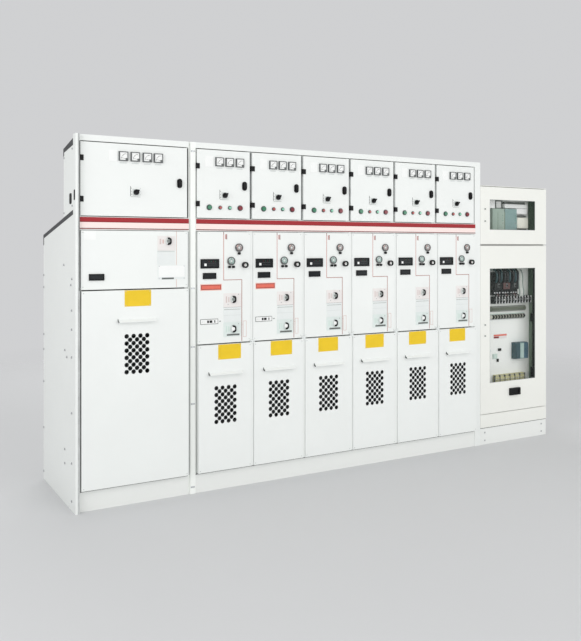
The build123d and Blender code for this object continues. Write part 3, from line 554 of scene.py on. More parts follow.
METER_SHARES = {"metering": (0.386, 0.496, 0.609, 0.715), "unit": (0.416, 0.608, 0.806)}
BLANK_SHARE = {"metering": 0.290, "unit": 0.22}
SWITCH_SHARE = {"metering": 0.504, "unit": 0.516}
BUTTON_SHARES = {"metering": (), "unit": (0.226, 0.43, 0.612, 0.81)}
METER_RISE_SHARE, SWITCH_RISE_SHARE, BUTTON_RISE_SHARE = 0.83, 0.338, 0.156
BUTTON_CAPS = (GREEN_CAP, RED_LAMP, GREEN_LAMP, RED_CAP)
METER_SIZE = 64
METER_WINDOW = 50
METER_WINDOW_FACE = DOOR_FACE - 9
BLANK_SIZE = (60, 76)
SWITCH_PLATE = 46
SWITCH_PLATE_FACE = DOOR_FACE - 5.5
BUTTON_RADIUS = 21
BUTTON_RIM_FACE = DOOR_FACE - 5.2
CARD_THICK = 0.5
PRINT = 0.15
METER_CAPTION = ((0, -43, 46, 6, 0.6, FRAME_LIGHT),)
BUTTON_CAPTION = ((0, 31, 42, 7, 0.6, BLANK),)
SWITCH_LEGEND = (
    ((-36, -27), (-36, 38), 3.2, INK),
    ((-35, -30), (30, -30), 2.4, FAINT_INK),
    *[((-34, rise), (-27, rise), 2.4, PLATE_DARK) for rise in (-14, 6, 26)],
    *[((27, rise), (33, rise), 2, FAINT_INK) for rise in (-16, 4, 24)],
)

# A meter's dial: its pivot from the middle, the scale's radius and angles, its ticks and the needle
DIAL_PIVOT = 18
SCALE_RADIUS, SCALE_ANGLES = 34, (92, 178)
TICKS, FIRST_TICK, TICK_TURN = 11, 95, 8
SHORT_TICK, LONG_TICK, TICK_END = 31, 28, 36
NEEDLE_REACH, NEEDLE_ANGLE = 32, 166


def meter_dial(pile, place):
    """A white card with a quarter scale, a needle and a dark pivot cover at the lower right."""
    plate(pile, *around(place, METER_WINDOW, METER_WINDOW), METER_WINDOW_FACE, CARD_THICK, CARD)
    card = METER_WINDOW_FACE - CARD_THICK
    pivot = (place[0] + DIAL_PIVOT, place[1] - DIAL_PIVOT)
    arc(pile, pivot, SCALE_RADIUS, 1.2, SCALE_ANGLES, card, PRINT, INK)
    for step in range(TICKS):
        start = SHORT_TICK if step % 5 else LONG_TICK
        degrees = FIRST_TICK + TICK_TURN * step
        strip(pile, polar(pivot, start, degrees), polar(pivot, TICK_END, degrees), 0.9, card, PRINT, INK)
    strip(pile, pivot, polar(pivot, NEEDLE_REACH, NEEDLE_ANGLE), 1.3, card, CARD_THICK, INK)
    stud(pile, pivot, card, 7, 1.6, PLATE_DARK)


for name, (low, high) in zip(DOOR_NAMES, DOORS):
    kind = "metering" if name == "metering" else "unit"
    body = f"{name}_door"
    spans = ((low.x, high.x), (low.z, high.z))
    meters = [within(*spans, (share, METER_RISE_SHARE)) for share in METER_SHARES[kind]]
    blank = within(*spans, (BLANK_SHARE[kind], METER_RISE_SHARE))
    switch = within(*spans, (SWITCH_SHARE[kind], SWITCH_RISE_SHARE))
    buttons = [within(*spans, (share, BUTTON_RISE_SHARE)) for share in BUTTON_SHARES[kind]]
    rules = [(near(place, METER_SIZE, METER_SIZE), BEZEL) for place in meters]
    rules.append((near(blank, *BLANK_SIZE), BLANK))
    rules.append((near(switch, SWITCH_PLATE, SWITCH_PLATE, SWITCH_PLATE_FACE), FRAME_LIGHT))
    for place, cap in zip(buttons, BUTTON_CAPS):
        rules.append((round_near(place, BUTTON_RADIUS, BUTTON_RIM_FACE), cap))
        rules.append((round_near(place, BUTTON_RADIUS), RIM))
    paint(f"{name}_lv_instruments", BLACK, rules)

    dials = Pile()
    for place in meters:
        meter_dial(dials, place)
    dials.make(f"{name}_meter_dials", body)

    captions = Pile()
    for place in meters:
        plates(captions, place, DOOR_FACE, METER_CAPTION)
    lines(captions, switch, DOOR_FACE, PRINT, SWITCH_LEGEND)
    for place in buttons:
        plates(captions, place, DOOR_FACE, BUTTON_CAPTION)
    captions.make(f"{name}_caption_plates", body)

# Seals behind the gaps of the low-voltage row, their grey toned as the shade in the gaps, and a dark bar of
# painted shade in the gap at the edge of the metering door
SEAL_SPAN = (DOOR_FACE + 22.5, DOOR_FACE + 26.2)
EDGE_SHADE = 1.5
EDGE_SHADE_SPAN = (DOOR_FACE + 3, SEAL_SPAN[0])
seal_places = [(bound - PANEL_MARGIN, bound + PANEL_MARGIN) for bound in INNER_BOUNDS]
for left, right in RUNS:
    seal_places += [(left, left + PANEL_MARGIN), (right - PANEL_MARGIN, right)]
seals_and_shade = Pile()
for x_span in seal_places:
    bar(seals_and_shade, x_span, SEAL_SPAN, (DOOR_LOW, DOOR_HIGH), GAP, 1.0)
bar(seals_and_shade, (METERING_RIGHT - EDGE_SHADE, METERING_RIGHT), EDGE_SHADE_SPAN, (DOOR_LOW, DOOR_HIGH), JOINT_SHADE, 0.4)
seals_and_shade.make("door_seals_and_gap_shade", ROOT)

# Pale fillers on the stiles, between the fixed panels of neighbouring units
FILLER_HALF = 8
fillers = Pile()
for bound in INNER_BOUNDS:
    x_span = (bound - FILLER_HALF, bound + FILLER_HALF)
    bar(fillers, x_span, (MECH_FACE + 3, NOSE_FACE), UNIT_MECH, CABINET, 1.0)
    bar(fillers, x_span, (COVER_FACE + 5, NOSE_FACE), (COVER_LOW, UNIT_JOINT - PANEL_SEAT), CABINET, 1.0)
fillers.make("panel_fillers", ROOT)

# The band: a red stripe with a darker lower edge, a pale strip and a thin brown-red line
BAND_STRIPES = (
    ((1831, 1859), 0.6, RED_BAND),
    ((1827, 1831), 0.7, RED_EDGE),
    ((1793, 1827), 0.4, PINK),
    ((1783, 1790), 0.7, BROWN_LINE),
)
band = Pile()
for x_span in RUNS:
    for z_span, thick, material in BAND_STRIPES:
        plate(band, x_span, z_span, BAND_FACE, thick, material)
band.make("band_stripes", ROOT)

# The mechanism panels of the units: places as shares of a panel, faces, and areas that take a colour

UPPER_INDICATOR = (0.769, 0.857)
LOWER_INDICATOR = (0.62, 0.736)
GAUGE = (0.88, 0.7)
UPPER_PORT = (0.66, 0.389)
LOWER_PORT = (0.66, 0.122)
LARGE_DISPLAY = (0.219, 0.714)
SMALL_DISPLAY = (0.213, 0.605)
INDICATOR_FACE = MECH_FACE - 5
GAUGE_FACE = MECH_FACE - 6
PLATE_FACE = MECH_FACE - 2.5
SCREEN_FACE = MECH_FACE - 6
SOCKET_FACE = MECH_FACE - 2.6
PORT_REACH = PLATE_FACE - corners("operating_ports")[0].y
CORE_REACH = PORT_REACH + 0.6
STUD_DROP, STUD_AREA = 40, (52, 20)
GAUGE_AREA = 22
PORT_AREA = (280, 120)
LABELLED_UNITS = DOOR_NAMES[1:3]
PAINT = 0.5

# The one-line diagram, from the band down, across, and on down to the cable cover, with a box at its side
MIMIC_TOP = MECH_HIGH - 1
MIMIC_LINES = (
    ((202, MIMIC_TOP), (202, MIMIC_TOP - 20), 4, BROWN_LINE),
    ((202, MIMIC_TOP - 20), (202, 1440), 4, MIMIC),
    ((202, 1442), (341, 1442), 4.5, MIMIC_DARK),
    ((341, 1444), (341, 1014), 4.5, MIMIC_DARK),
    *[((x, 1044), (x, 1153), 2.4, MIMIC_FAINT) for x in (352, 376)],
    *[((350.8, z), (377.2, z), 2.4, MIMIC_FAINT) for z in (1044, 1153)],
    ((341, 1130), (352, 1130), 2.4, MIMIC_FAINT),
)
MIMIC_BARS = ((216, 1740, 6, 32, PAINT, MIMIC), (225, 1740, 6, 36, PAINT, BROWN_LINE))

# Plates of a unit's panel, from the unit's left side and the floor; the dark bar along the foot of the upper
# operating plate is a painted shadow of its shutter
STRIP_PLATES = (
    (268.5, 1201.5, 135, 101, 1.2, PLATE_GREY),
    (267.5, 1254, 133, 4, 2.0, PLATE_DARK),
    (267.5, 1237.5, 125, 3, 1.5, FAINT_INK),
    (267.5, 1197, 133, 2, 1.5, FRAME_LIGHT),
)
# A dark bar near the foot of the lower operating plate: a painted shadow of its shutter
STRIP_FOOT = ((273.5, 1062, 97, 12, 0.6, PLATE_DARK),)
RED_LABEL = (
    (107.5, 1394, 160, 46, 0.8, LABEL_EDGE),
    (107.5, 1394, 150, 35, 1.1, LABEL_LINE),
    (107.5, 1394, 138, 23, 1.4, LABEL_RED),
)
SOCKET_RISE = 1160
SOCKET_FRAME = (
    (94, SOCKET_RISE, 132, 36, 2.0, PLATE_DARK, 1.0),
    (94, SOCKET_RISE, 126, 30, 2.6, BLANK, 1.0),
)
SOCKET_HOLES = ((84, 13), (102, 13), (112, 6), (134, 7))
SOCKETS = [(across, SOCKET_RISE, wide, 17, 2.0, BLACK, 1.0) for across, wide in SOCKET_HOLES]
SOCKET_LINES = [((x, SOCKET_RISE - 6), (x, SOCKET_RISE + 6), 1.6, FAINT_INK) for x in (42, 54)]
SOCKET_PINS = (170, 178)

# The glass of the displays, from each display's middle
LARGE_SCREEN = (
    (0, 0, 120, 47, 0.6, SCREEN),
    (-34, -7, 17, 17, 1.2, CARD),
    (16, 4, 62, 1.6, 0.8, GREY_RIM),
    (16, -9, 62, 1.6, 0.8, GREY_RIM),
)
SMALL_SCREEN = ((0, 0, 82, 26, 0.6, SCREEN),)
LAMP_PLACE = (16, 15)
LAMP_COLOURS = (RED_CAP, FLAG_GREEN, RED_CAP, FLAG_GREEN)

# An operating port: its core, the screws of its plate, and bars beside it as across, rise, width and height
CORE_OFFSET, CORE_RADIUS, CORE_END_RADIUS = (-4, 1), 12.5, 11.5
CORE_SLOTS = [((across, -8), (across, 8), 4, RIM) for across in (-4, 5)]
PORT_SCREWS = ((-40, -34), (40, 34))
UNIT_BARS = ((-52, 0, 9, 44), (-34, 0, 8, 36))
METERING_BARS = ((-56, -2, 11, 36), (-37, -2, 9, 26))


def indicator(pile, place, tint, flag):
    """The sunk face of a position indicator with a broad pointer and a flag, a painted highlight at the upper
    right and painted shade along the lower left of its rim.
    """
    stud(pile, place, INDICATOR_FACE, 23.6, 1.2, tint, 32)
    face = INDICATOR_FACE - 1.0
    # A light arc at the upper right is a painted highlight; a grey arc along the lower left is painted shade
    arc(pile, place, 19, 4, (20, 70), face, SINK, FRAME_LIGHT, 8)
    arc(pile, place, 19, 4, (110, 160), face, SINK, flag, 8)
    arc(pile, place, 20, 5, (170, 300), face, SINK, GREY_RIM, 12)
    lines(pile, place, face, 2.0, [((0, -15), (0, 15), 6, FAINT_INK)])
    stud(pile, place, face, 8, 3.6, FRAME_LIGHT, 20)


def gauge_dial(pile, place):
    """The small white dial of a pressure gauge with coloured zones and a needle."""
    stud(pile, place, GAUGE_FACE, 15.8, 12.0, BLACK, 28)
    stud(pile, place, GAUGE_FACE - 12.0, 10.5, 0.8, CARD, 28)
    card = GAUGE_FACE - 12.8
    arc(pile, place, 8.4, 1.6, (-30, 110), card, SINK, FLAG_GREEN)
    arc(pile, place, 8.4, 1.6, (115, 210), card, SINK, RED_LAMP)
    lines(pile, place, card, 0.6, [((-1.5, -2.6), (4, 6.9), 1.2, INK)])
    stud(pile, place, card, 1.8, 1.2, INK, 12)


def port_marks(pile, place, slotted, bars, tints):
    """An operating port's core, left of its dark well and perhaps with two slots, and the bars beside it."""
    x, z = place[0] + CORE_OFFSET[0], place[1] + CORE_OFFSET[1]
    steps = [(CORE_RADIUS, -SINK), (CORE_RADIUS, PORT_REACH), (CORE_END_RADIUS, CORE_REACH)]
    turned(pile, (x, PLATE_FACE, z), FRONT_WARD, steps, FAINT_INK if slotted else BLANK, 28)
    if slotted:
        lines(pile, (x, z), PLATE_FACE - CORE_REACH, PRINT, CORE_SLOTS)
    plates(pile, place, PLATE_FACE, [(*sizes, PAINT, tint) for sizes, tint in zip(bars, tints)])


def socket_strip(pile, place):
    """A framed strip of test sockets: a wide blank window, dark sockets and two pins."""
    plates(pile, place, MECH_FACE, SOCKET_FRAME)
    lines(pile, place, SOCKET_FACE, PRINT, SOCKET_LINES)
    plates(pile, place, SOCKET_FACE, SOCKETS)
    for across in SOCKET_PINS:
        stud(pile, (place[0] + across, place[1] + SOCKET_RISE), MECH_FACE, 3, 2.0, PLATE_DARK, 12)


knob_rules, plate_rules, port_places = [], [], []
for name, left in zip(DOOR_NAMES[1:], UNIT_LEFTS):
    foot = (left, 0)
    spans = (inset((left, left + UNIT_WIDTH), PANEL_MARGIN), UNIT_MECH)
    upper, lower = within(*spans, UPPER_INDICATOR), within(*spans, LOWER_INDICATOR)
    gauge = within(*spans, GAUGE)
    upper_port, lower_port = within(*spans, UPPER_PORT), within(*spans, LOWER_PORT)
    port_places += [upper_port, lower_port]
    for x, z in (upper, lower):
        knob_rules.append((near((x, z - STUD_DROP), *STUD_AREA), BLACK))
    knob_rules.append((round_near(gauge, GAUGE_AREA), BLACK))
    plate_rules.append((near(upper_port, *PORT_AREA), PLATE_PINK))
    plate_rules.append((near(lower_port, *PORT_AREA), PLATE_GREEN))

    faces = Pile()
    indicator(faces, upper, FACE_PINK, LABEL_EDGE)
    indicator(faces, lower, FACE_GREEN, PLATE_GREEN)
    gauge_dial(faces, gauge)
    faces.make(f"{name}_indicator_faces", ROOT)

    mimic = Pile()
    lines(mimic, foot, MECH_FACE, PAINT, MIMIC_LINES)
    plates(mimic, foot, MECH_FACE, MIMIC_BARS)
    mimic.make(f"{name}_mimic_lines", ROOT)

    marks = Pile()
    plates(marks, foot, MECH_FACE, STRIP_PLATES)
    plates(marks, foot, PLATE_FACE, STRIP_FOOT)
    port_marks(marks, upper_port, True, UNIT_BARS, (BAR_PINK, BAR_PINK))
    port_marks(marks, lower_port, False, UNIT_BARS, (MINT, MINT))
    for x, z in (upper_port, lower_port):
        for across, rise in PORT_SCREWS:
            screw(marks, (x + across, z + rise), PLATE_FACE, 3.5)
    if name in LABELLED_UNITS:
        plates(marks, foot, MECH_FACE, RED_LABEL)
        socket_strip(marks, foot)
    marks.make(f"{name}_panel_marks", ROOT)

    screens = Pile()
    large = within(*spans, LARGE_DISPLAY)
    plates(screens, large, SCREEN_FACE, LARGE_SCREEN)
    plates(screens, within(*spans, SMALL_DISPLAY), SCREEN_FACE, SMALL_SCREEN)
    for across, lamp in zip(row(4, 16), LAMP_COLOURS):
        place = (large[0] + LAMP_PLACE[0] + across, large[1] + LAMP_PLACE[1])
        stud(screens, place, SCREEN_FACE - 0.6, 2.2, 1.4, lamp, 12)
    screens.make(f"{name}_display_screens", ROOT)

# The mechanism panel of the metering cabinet
METERING_PORT_AREA = (220, 120)
WELL_OFFSET, WELL_AREA = -20, (20, 60)
MIMIC_X = LEFT_END + 674
CORNER_PLATE = ((94, 1741, 76, 54, 0.6, BLANK),)
LOW_PLATES = ((-27, -41, 84, 11, 0.6, PLATE_DARK), (0, 6, 184, 76, 0.6, BLANK))
PORT_PLATES = ((-16, 1597, 124, 90, 1.2, PLATE_GREY), (-16, 1640, 120, 8, 1.8, FRAME_LIGHT))
spans = (inset(RUNS[0], PANEL_MARGIN), METERING_MECH)
port = within(*spans, (0.806, 0.823))
low_plate = within(*spans, (0.838, 0.275))
plate_rules.append((near(port, *METERING_PORT_AREA), PLATE_PINK))
port_places.append(port)
well_rules = [(near((x + WELL_OFFSET, z), *WELL_AREA), FRAME_LIGHT) for x, z in port_places]
paint("position_knobs", GREY_RIM, knob_rules)
paint("operating_plates", PLATE_GREY, plate_rules)
paint("operating_ports", BLACK, well_rules)

marks = Pile()
strip(marks, (MIMIC_X, MIMIC_TOP), (MIMIC_X, METERING_MECH[0] + 3), 3, MECH_FACE, PAINT, MIMIC_FAINT)
plates(marks, (LEFT_END, 0), MECH_FACE, CORNER_PLATE)
plates(marks, low_plate, PLATE_FACE, LOW_PLATES)
for across in (-88, 88):
    for rise in (-41, 40):
        screw(marks, (low_plate[0] + across, low_plate[1] + rise), PLATE_FACE, 3)
port_marks(marks, port, True, METERING_BARS, (BAR_PINK, MIMIC_FAINT))
plates(marks, (port[0], 0), MECH_FACE, PORT_PLATES)
plates(marks, within(*spans, (0.137, 0.21)), SCREEN_FACE, SMALL_SCREEN)
marks.make("metering_panel_marks", ROOT)

# Bare yellow plates on the cable covers, each with four rivets
UNIT_YELLOW = ((154, 327), (142, 317), (120, 293), (122, 295), (121, 294), (118, 287))
UNIT_YELLOW_RISE = (898, 1000)
METERING_YELLOW, METERING_YELLOW_RISE = (314, 492), (1286, 1390)
RIVET_INSET = 8
yellow_places = [(shift(span, left), UNIT_YELLOW_RISE) for span, left in zip(UNIT_YELLOW, UNIT_LEFTS)]
yellow_places.append((shift(METERING_YELLOW, LEFT_END), METERING_YELLOW_RISE))
yellow = Pile()
for x_span, z_span in yellow_places:
    plate(yellow, x_span, z_span, COVER_FACE, 1.0, YELLOW)
    for x in inset(x_span, RIVET_INSET):
        for z in inset(z_span, RIVET_INSET):
            stud(yellow, (x, z), COVER_FACE - 0.8, 2.8, 1.6, ZINC, 14)
yellow.make("yellow_plates", ROOT)

# Dark ends of the pull lips, painted shade for the shaded hollow under each lip's open end, following their
# section as (distance ahead of the skin, height)
LIP_DROP, LIP_HALF, LIP_END = 210, 125, 3
LIP_SECTION = ((0, 24), (0, 4), (14, 0), (24, -1), (24, 6), (3, 19))
lip_end_shade = Pile()
for x_span, joint in FRONTS:
    start = sum(x_span) / 2 - LIP_HALF
    section = [(COVER_FACE - ahead, joint - LIP_DROP + rise) for ahead, rise in LIP_SECTION]
    rings = [[(x, y, z) for y, z in section] for x in (start - LIP_END, start + SINK)]
    skin(lip_end_shade, rings, PLATE_DARK)
lip_end_shade.make("lip_end_shade", ROOT)

# Screws of the covers and panels, and clips on the joint strip and between the units
SCREW_INSET = 22
COVER_SCREW_LOW, COVER_SCREW_DROP, MECH_SCREW_DROP = 152, 18, 14
CLIP_X = UNITS_LEFT - 20
CLIP_HEIGHTS = (2318, 1390, 993, 608, 46)


def clip(pile, place, face, size, thick, tint, spread, radius):
    """A joining plate held by two screws."""
    plate(pile, *around(place, *size), face, thick, tint, 0.8)
    for across in (-spread, spread):
        screw(pile, (place[0] + across, place[1]), face - thick + 0.1, radius)


screws = Pile()
for x_span, joint in FRONTS:
    for x in inset(x_span, SCREW_INSET):
        for z in (COVER_SCREW_LOW, joint - COVER_SCREW_DROP):
            screw(screws, (x, z), COVER_FACE, 4, FRAME_LIGHT)
        for z in (joint + SCREW_INSET, MECH_HIGH - MECH_SCREW_DROP):
            screw(screws, (x, z), MECH_FACE, 3.5, FRAME_LIGHT)
for z in CLIP_HEIGHTS:
    clip(screws, (CLIP_X, z), DOOR_FACE, (30, 11), 1.6, GALVANISED, 9, 3)
for bound in INNER_BOUNDS:
    clip(screws, (bound, UNIT_JOINT + 2), COVER_FACE + 5, (34, 24), 3, PLATE_GREY, 10, 3.5)
screws.make("front_screws", ROOT)

# Bolts of the left end panels, as (distance behind the doors, height)
LOWER_END_BOLTS = (
    (261, 1552), (234, 998), (182, 959), (846, 1468), (846, 1382), (55, 1467), (80, 1428), (846, 1044),
    (846, 936), (846, 705), (846, 374), (846, 60), (60, 1267), (60, 1147), (60, 971), (60, 618), (60, 300),
    (234, 353), (234, 262), (60, 60),
)
UPPER_END_BOLTS = ((48, 2290), (255, 2250), (48, 1930), (255, 1890))
bolts = Pile()
for places, radius in ((LOWER_END_BOLTS, 6), (UPPER_END_BOLTS, 5)):
    for deep, z in places:
        bolt(bolts, (LEFT_END, DOOR_FACE + deep, z), LEFT_WARD, radius)
bolts.make("end_panel_bolts", ROOT)

# Bolts of the back panels and of the supply plinth
BACK_HEIGHTS = (150, 540, 930, 1320, 1715)
SUPPLY_BACK_HEIGHTS = (170, 660, 1150, 1640, 2150)
SUPPLY_PLINTH_HEIGHTS = (100, 34)
back_bolts = Pile()
for x_span, joint in FRONTS:
    bolt_rows(back_bolts, x_span, 16, REAR, BACK_HEIGHTS, BACK_WARD)
bolt_rows(back_bolts, SUPPLY_X, 20, SUPPLY_REAR, SUPPLY_BACK_HEIGHTS, BACK_WARD)
back_bolts.make("back_bolts", ROOT)

plinth_bolts = Pile()
bolt_rows(plinth_bolts, SUPPLY_X, 58, PLINTH_FACE, SUPPLY_PLINTH_HEIGHTS, FRONT_WARD)
plinth_bolts.make("plinth_bolts", ROOT)

# The windows of the supply doors: a thin gasket round the opening
GLASS_LAP = 14
GASKET = 3
GASKET_SPAN = (DOOR_FACE - 0.6, DOOR_FACE + 2)
for name in ("upper", "lower"):
    low, high = corners(f"supply_{name}_glass")
    x_span, z_span = inset((low.x, high.x), GLASS_LAP), inset((low.z, high.z), GLASS_LAP)
    gasket = Pile()
    for x in (x_span[0], x_span[1] - GASKET):
        bar(gasket, (x, x + GASKET), GASKET_SPAN, z_span, GAP, 0.8)
    for z in (z_span[0], z_span[1] - GASKET):
        bar(gasket, x_span, GASKET_SPAN, (z, z + GASKET), GAP, 0.8)
    gasket.make(f"supply_{name}_gasket", f"supply_{name}")

# Inside the supply cabinet: the banks of devices stand where the CAD has them

MOUNT_FACE = corners("supply_mounting_plates")[0].y
MOUNT_X = tuple(corner.x for corner in corners("supply_mounting_plates"))
LOWER_MOUNT = (297, 1640)
UPPER_MOUNT = (1734, 2141)
BREAKER_REACH, BREAKER_PITCH, POLE_PITCH = 60, 98, 29
SWITCH_REACH, SWITCH_PITCH = 40, 35
STRIP_REACH, TERMINAL_PITCH, EARTH_PITCH = 30, 14.2, 60
FUSE_PITCH, FUSE_HALF = 33.5, 12
CONVERTER_REACH = 55
MODULE_REACH, MODULE_PITCH = 60, 148
BOX_REACH = 45
breakers = within(MOUNT_X, LOWER_MOUNT, (0.494, 0.784))
switches = within(MOUNT_X, LOWER_MOUNT, (0.634, 0.677))
terminals = within(MOUNT_X, LOWER_MOUNT, (0.59, 0.619))
fuses = within(MOUNT_X, LOWER_MOUNT, (0.5855, 0.567))
converter = within(MOUNT_X, LOWER_MOUNT, (0.78, 0.339))
earths = within(MOUNT_X, LOWER_MOUNT, (0.6, 0.16))
modules = within(MOUNT_X, UPPER_MOUNT, (0.459, 0.435))
white_box = within(MOUNT_X, UPPER_MOUNT, (0.802, 0.366))


# Areas of the devices that take a colour
FUSE_AREA, TERMINAL_AREA, EARTH_AREA = (430, 44), (420, 52), (380, 90)
CONVERTER_AREA, CONVERTER_LEFT, CONVERTER_LEFT_AREA = (170, 160), 40, (80, 160)
MODULE_AREA, BOX_AREA = (146, 190), (140, 100)


def fuse_side(middle):
    """A test for the upright sides of the fuses."""
    across = (middle.x - fuses[0]) / FUSE_PITCH % 1 - 0.5
    return near(fuses, *FUSE_AREA)(middle) and abs(across) * FUSE_PITCH > FUSE_HALF - 1


paint("supply_devices", BLACK, [
    (fuse_side, WHITE_BOX),
    (near(terminals, *TERMINAL_AREA), OLIVE),
    (near((converter[0] - CONVERTER_LEFT, converter[1]), *CONVERTER_LEFT_AREA), CONVERTER_DARK),
    (near(converter, *CONVERTER_AREA), CONVERTER),
    (near(earths, *EARTH_AREA), OLIVE_YELLOW),
    (near((modules[0] - MODULE_PITCH / 2, modules[1]), *MODULE_AREA), MODULE),
    (near((modules[0] + MODULE_PITCH / 2, modules[1]), *MODULE_AREA), MODULE_BLUE),
    (near(white_box, *BOX_AREA), WHITE_BOX),
])

# Blocks on the devices, as x, y and z spans from the face, edge, and materials that a row takes in turn
BREAKER_BLOCKS = (
    ((-40, 40), (-3, 1), (-48, 8), 1.5, (RUBBER, WIRE_BROWN, RUBBER)),
    ((-12, 12), (-6, -2), (-30, 2), 1.5, (PLATE_DARK,)),
    ((-6, 6), (-12, -5), (-24, -10), 1.5, (BLACK,)),
)
SWITCH_BLOCKS = (
    ((-5, 5), (-5, 1), (-4, 9), 1.2, (PLATE_DARK, PLATE_DARK, PLATE_DARK, WIRE_WHITE)),
    ((15.5, 19.5), (-1, 9), (-31, 31), 0.4, (BLANK,)),
)
TERMINAL_BLOCKS = (((-5.6, 5.6), (-3, 1), (-10, 10), 1.0, (OLIVE,)),)
FUSE_RAILS = (
    ((-206, 206), (-8, 0), (-26, -20), 1.0, (GALVANISED,)),
    ((-206, 206), (-8, 0), (20, 26), 1.0, (MINT,)),
)
# The converter: a dark left part, a paler middle part with three light bars, together a painted highlight
# down its front, and a blue right part, with ribs
CONVERTER_BLOCKS = (
    ((-72, -26), (-3, 16), (-70, 70), 1.5, (CONVERTER_DARK,)),
    ((-25, 21), (-3, 16), (-70, 70), 1.5, (MODULE_BLUE,)),
    ((22, 72), (-3, 16), (-70, 70), 1.5, (CONVERTER,)),
    *[((x - 3, x + 3), (-5, -2), (-64, 64), 1.0, (MINT,)) for x in (-17, -3, 10)],
    *[((-68, -30), (-4.5, -2), (z - 3, z + 3), 0.8, (CONVERTER_DARK,)) for z in row(9, 14)],
    *[((27, 68), (-4.5, -2), (z - 3, z + 3), 0.8, (CONVERTER,)) for z in row(9, 14)],
)
EARTH_PARTINGS = (((-5, 5), (-2, 9), (-38, 38), 1.0, (PLATE_DARK,)),)
DUCT_SLOTS = (((-5.5, 5.5), (-40, -36), (-9, 9), 0.8, (PLATE_DARK,)),)
DUCT = (((-190, 196), (-36.5, 0), (-9, 9), 1.0, (MINT,)),)
MODULE_BLOCKS = (
    ((-70, 70), (-3, 18), (-92, 92), 1.5, (MODULE, MODULE_BLUE)),
    *[((-60, 28), (-4.5, -2), (z - 2.5, z + 2.5), 0.8, (MODULE, MODULE_BLUE)) for z in row(12, 13)],
)
MODULE_PARTINGS = (((-4, 4), (-4, 18), (-92, 62), 1.0, (DARK_GREEN_LIT,)),)
BOX_BLOCKS = (
    ((-62, 62), (19, 45), (52, 68), 1.5, (PLATE_DARK,)),
    ((-66, 66), (19, 45), (-92, -54), 1.5, (RUBBER,)),
    ((-66, 66), (-2, 14), (-46, 46), 1.5, (WHITE_BOX,)),
)

# Round heads on the devices, as across, rise, distance behind the face, radius, reach, material and sides
BREAKER_HEADS = [(x, -80, 15.3, 8, 4, STEEL, 16) for x in row(3, POLE_PITCH)]
TERMINAL_HEADS = [(0, rise, 7.7, 3.4, 2.4, ZINC, 12) for rise in (-17, 17)]
EARTH_HEADS = [(x, 0, 0, 6, 3, STEEL, 16) for x in (-13, 13)]
EARTH_HEADS += [(x, 30, 7.5, 5, 3, ZINC, 14) for x in (-13, 13)]
MODULE_LAMPS = (RED_CAP, FLAG_GREEN, FLAG_GREEN, FLAG_GREEN)
MODULE_HEADS = [(50, rise, -3, 3.4, 2.4, lamp, 14) for rise, lamp in zip(row(4, 22), MODULE_LAMPS)]


def bank(pile, place, reach, columns, blocks=(), heads=()):
    """A row of like devices on the mounting plate, each with blocks and round heads about its middle."""
    face = MOUNT_FACE - reach
    for step, column in enumerate(columns):
        middle = (place[0] + column, face, place[1])
        for *spans, edge, materials in blocks:
            placed = [shift(span, start) for span, start in zip(spans, middle)]
            bar(pile, *placed, materials[step % len(materials)], edge)
        for across, rise, behind, radius, tall, material, sides in heads:
            stud(pile, (middle[0] + across, place[1] + rise), face + behind, radius, tall, material, sides)


# Small devices and labels, as x span from the cabinet's side, z span, reach and material
SMALL_DEVICES = (
    ((216, 242), (756, 778), 10, PLATE_GREY),
    ((266, 318), (692, 735), 8, MINT),
    ((330, 362), (758, 780), 12, BLACK),
    ((314, 332), (664, 690), 12, BLACK),
)
NOSE_INSET = 5
LABELS = (
    ((280, 436), (864, 908), 0.8, PLATE_PINK),
    ((280, 436), (888, 902), 1.2, LABEL_RED),
    ((280, 342), (870, 885), 1.2, RED_EDGE),
)
inside = Pile()
bank(inside, breakers, BREAKER_REACH, row(3, BREAKER_PITCH), BREAKER_BLOCKS, BREAKER_HEADS)
bank(inside, switches, SWITCH_REACH, row(13, SWITCH_PITCH), SWITCH_BLOCKS)
bank(inside, terminals, STRIP_REACH, row(28, TERMINAL_PITCH), TERMINAL_BLOCKS, TERMINAL_HEADS)
bank(inside, fuses, 0, [0], FUSE_RAILS)
bank(inside, converter, CONVERTER_REACH, [0], CONVERTER_BLOCKS)
bank(inside, earths, STRIP_REACH, row(7, EARTH_PITCH), EARTH_PARTINGS)
bank(inside, earths, STRIP_REACH, row(6, EARTH_PITCH), heads=EARTH_HEADS)
for x_span, z_span, reach, material in SMALL_DEVICES:
    x_span = shift(x_span, SUPPLY_LEFT)
    bar(inside, x_span, (MOUNT_FACE - reach, MOUNT_FACE + SINK), z_span, material, 1.5)
    nose_span = (MOUNT_FACE - reach - 3, MOUNT_FACE - reach + 1)
    bar(inside, inset(x_span, NOSE_INSET), nose_span, inset(z_span, NOSE_INSET), material, 1.0)
for x_span, z_span, thick, material in LABELS:
    plate(inside, shift(x_span, SUPPLY_LEFT), z_span, MOUNT_FACE, thick, material)
wire_duct = (MOUNT_X[0] + 294, 1471)
bank(inside, wire_duct, 0, row(22, 17), DUCT_SLOTS)
bank(inside, wire_duct, 0, [0], DUCT)
inside.make("supply_device_details", ROOT)

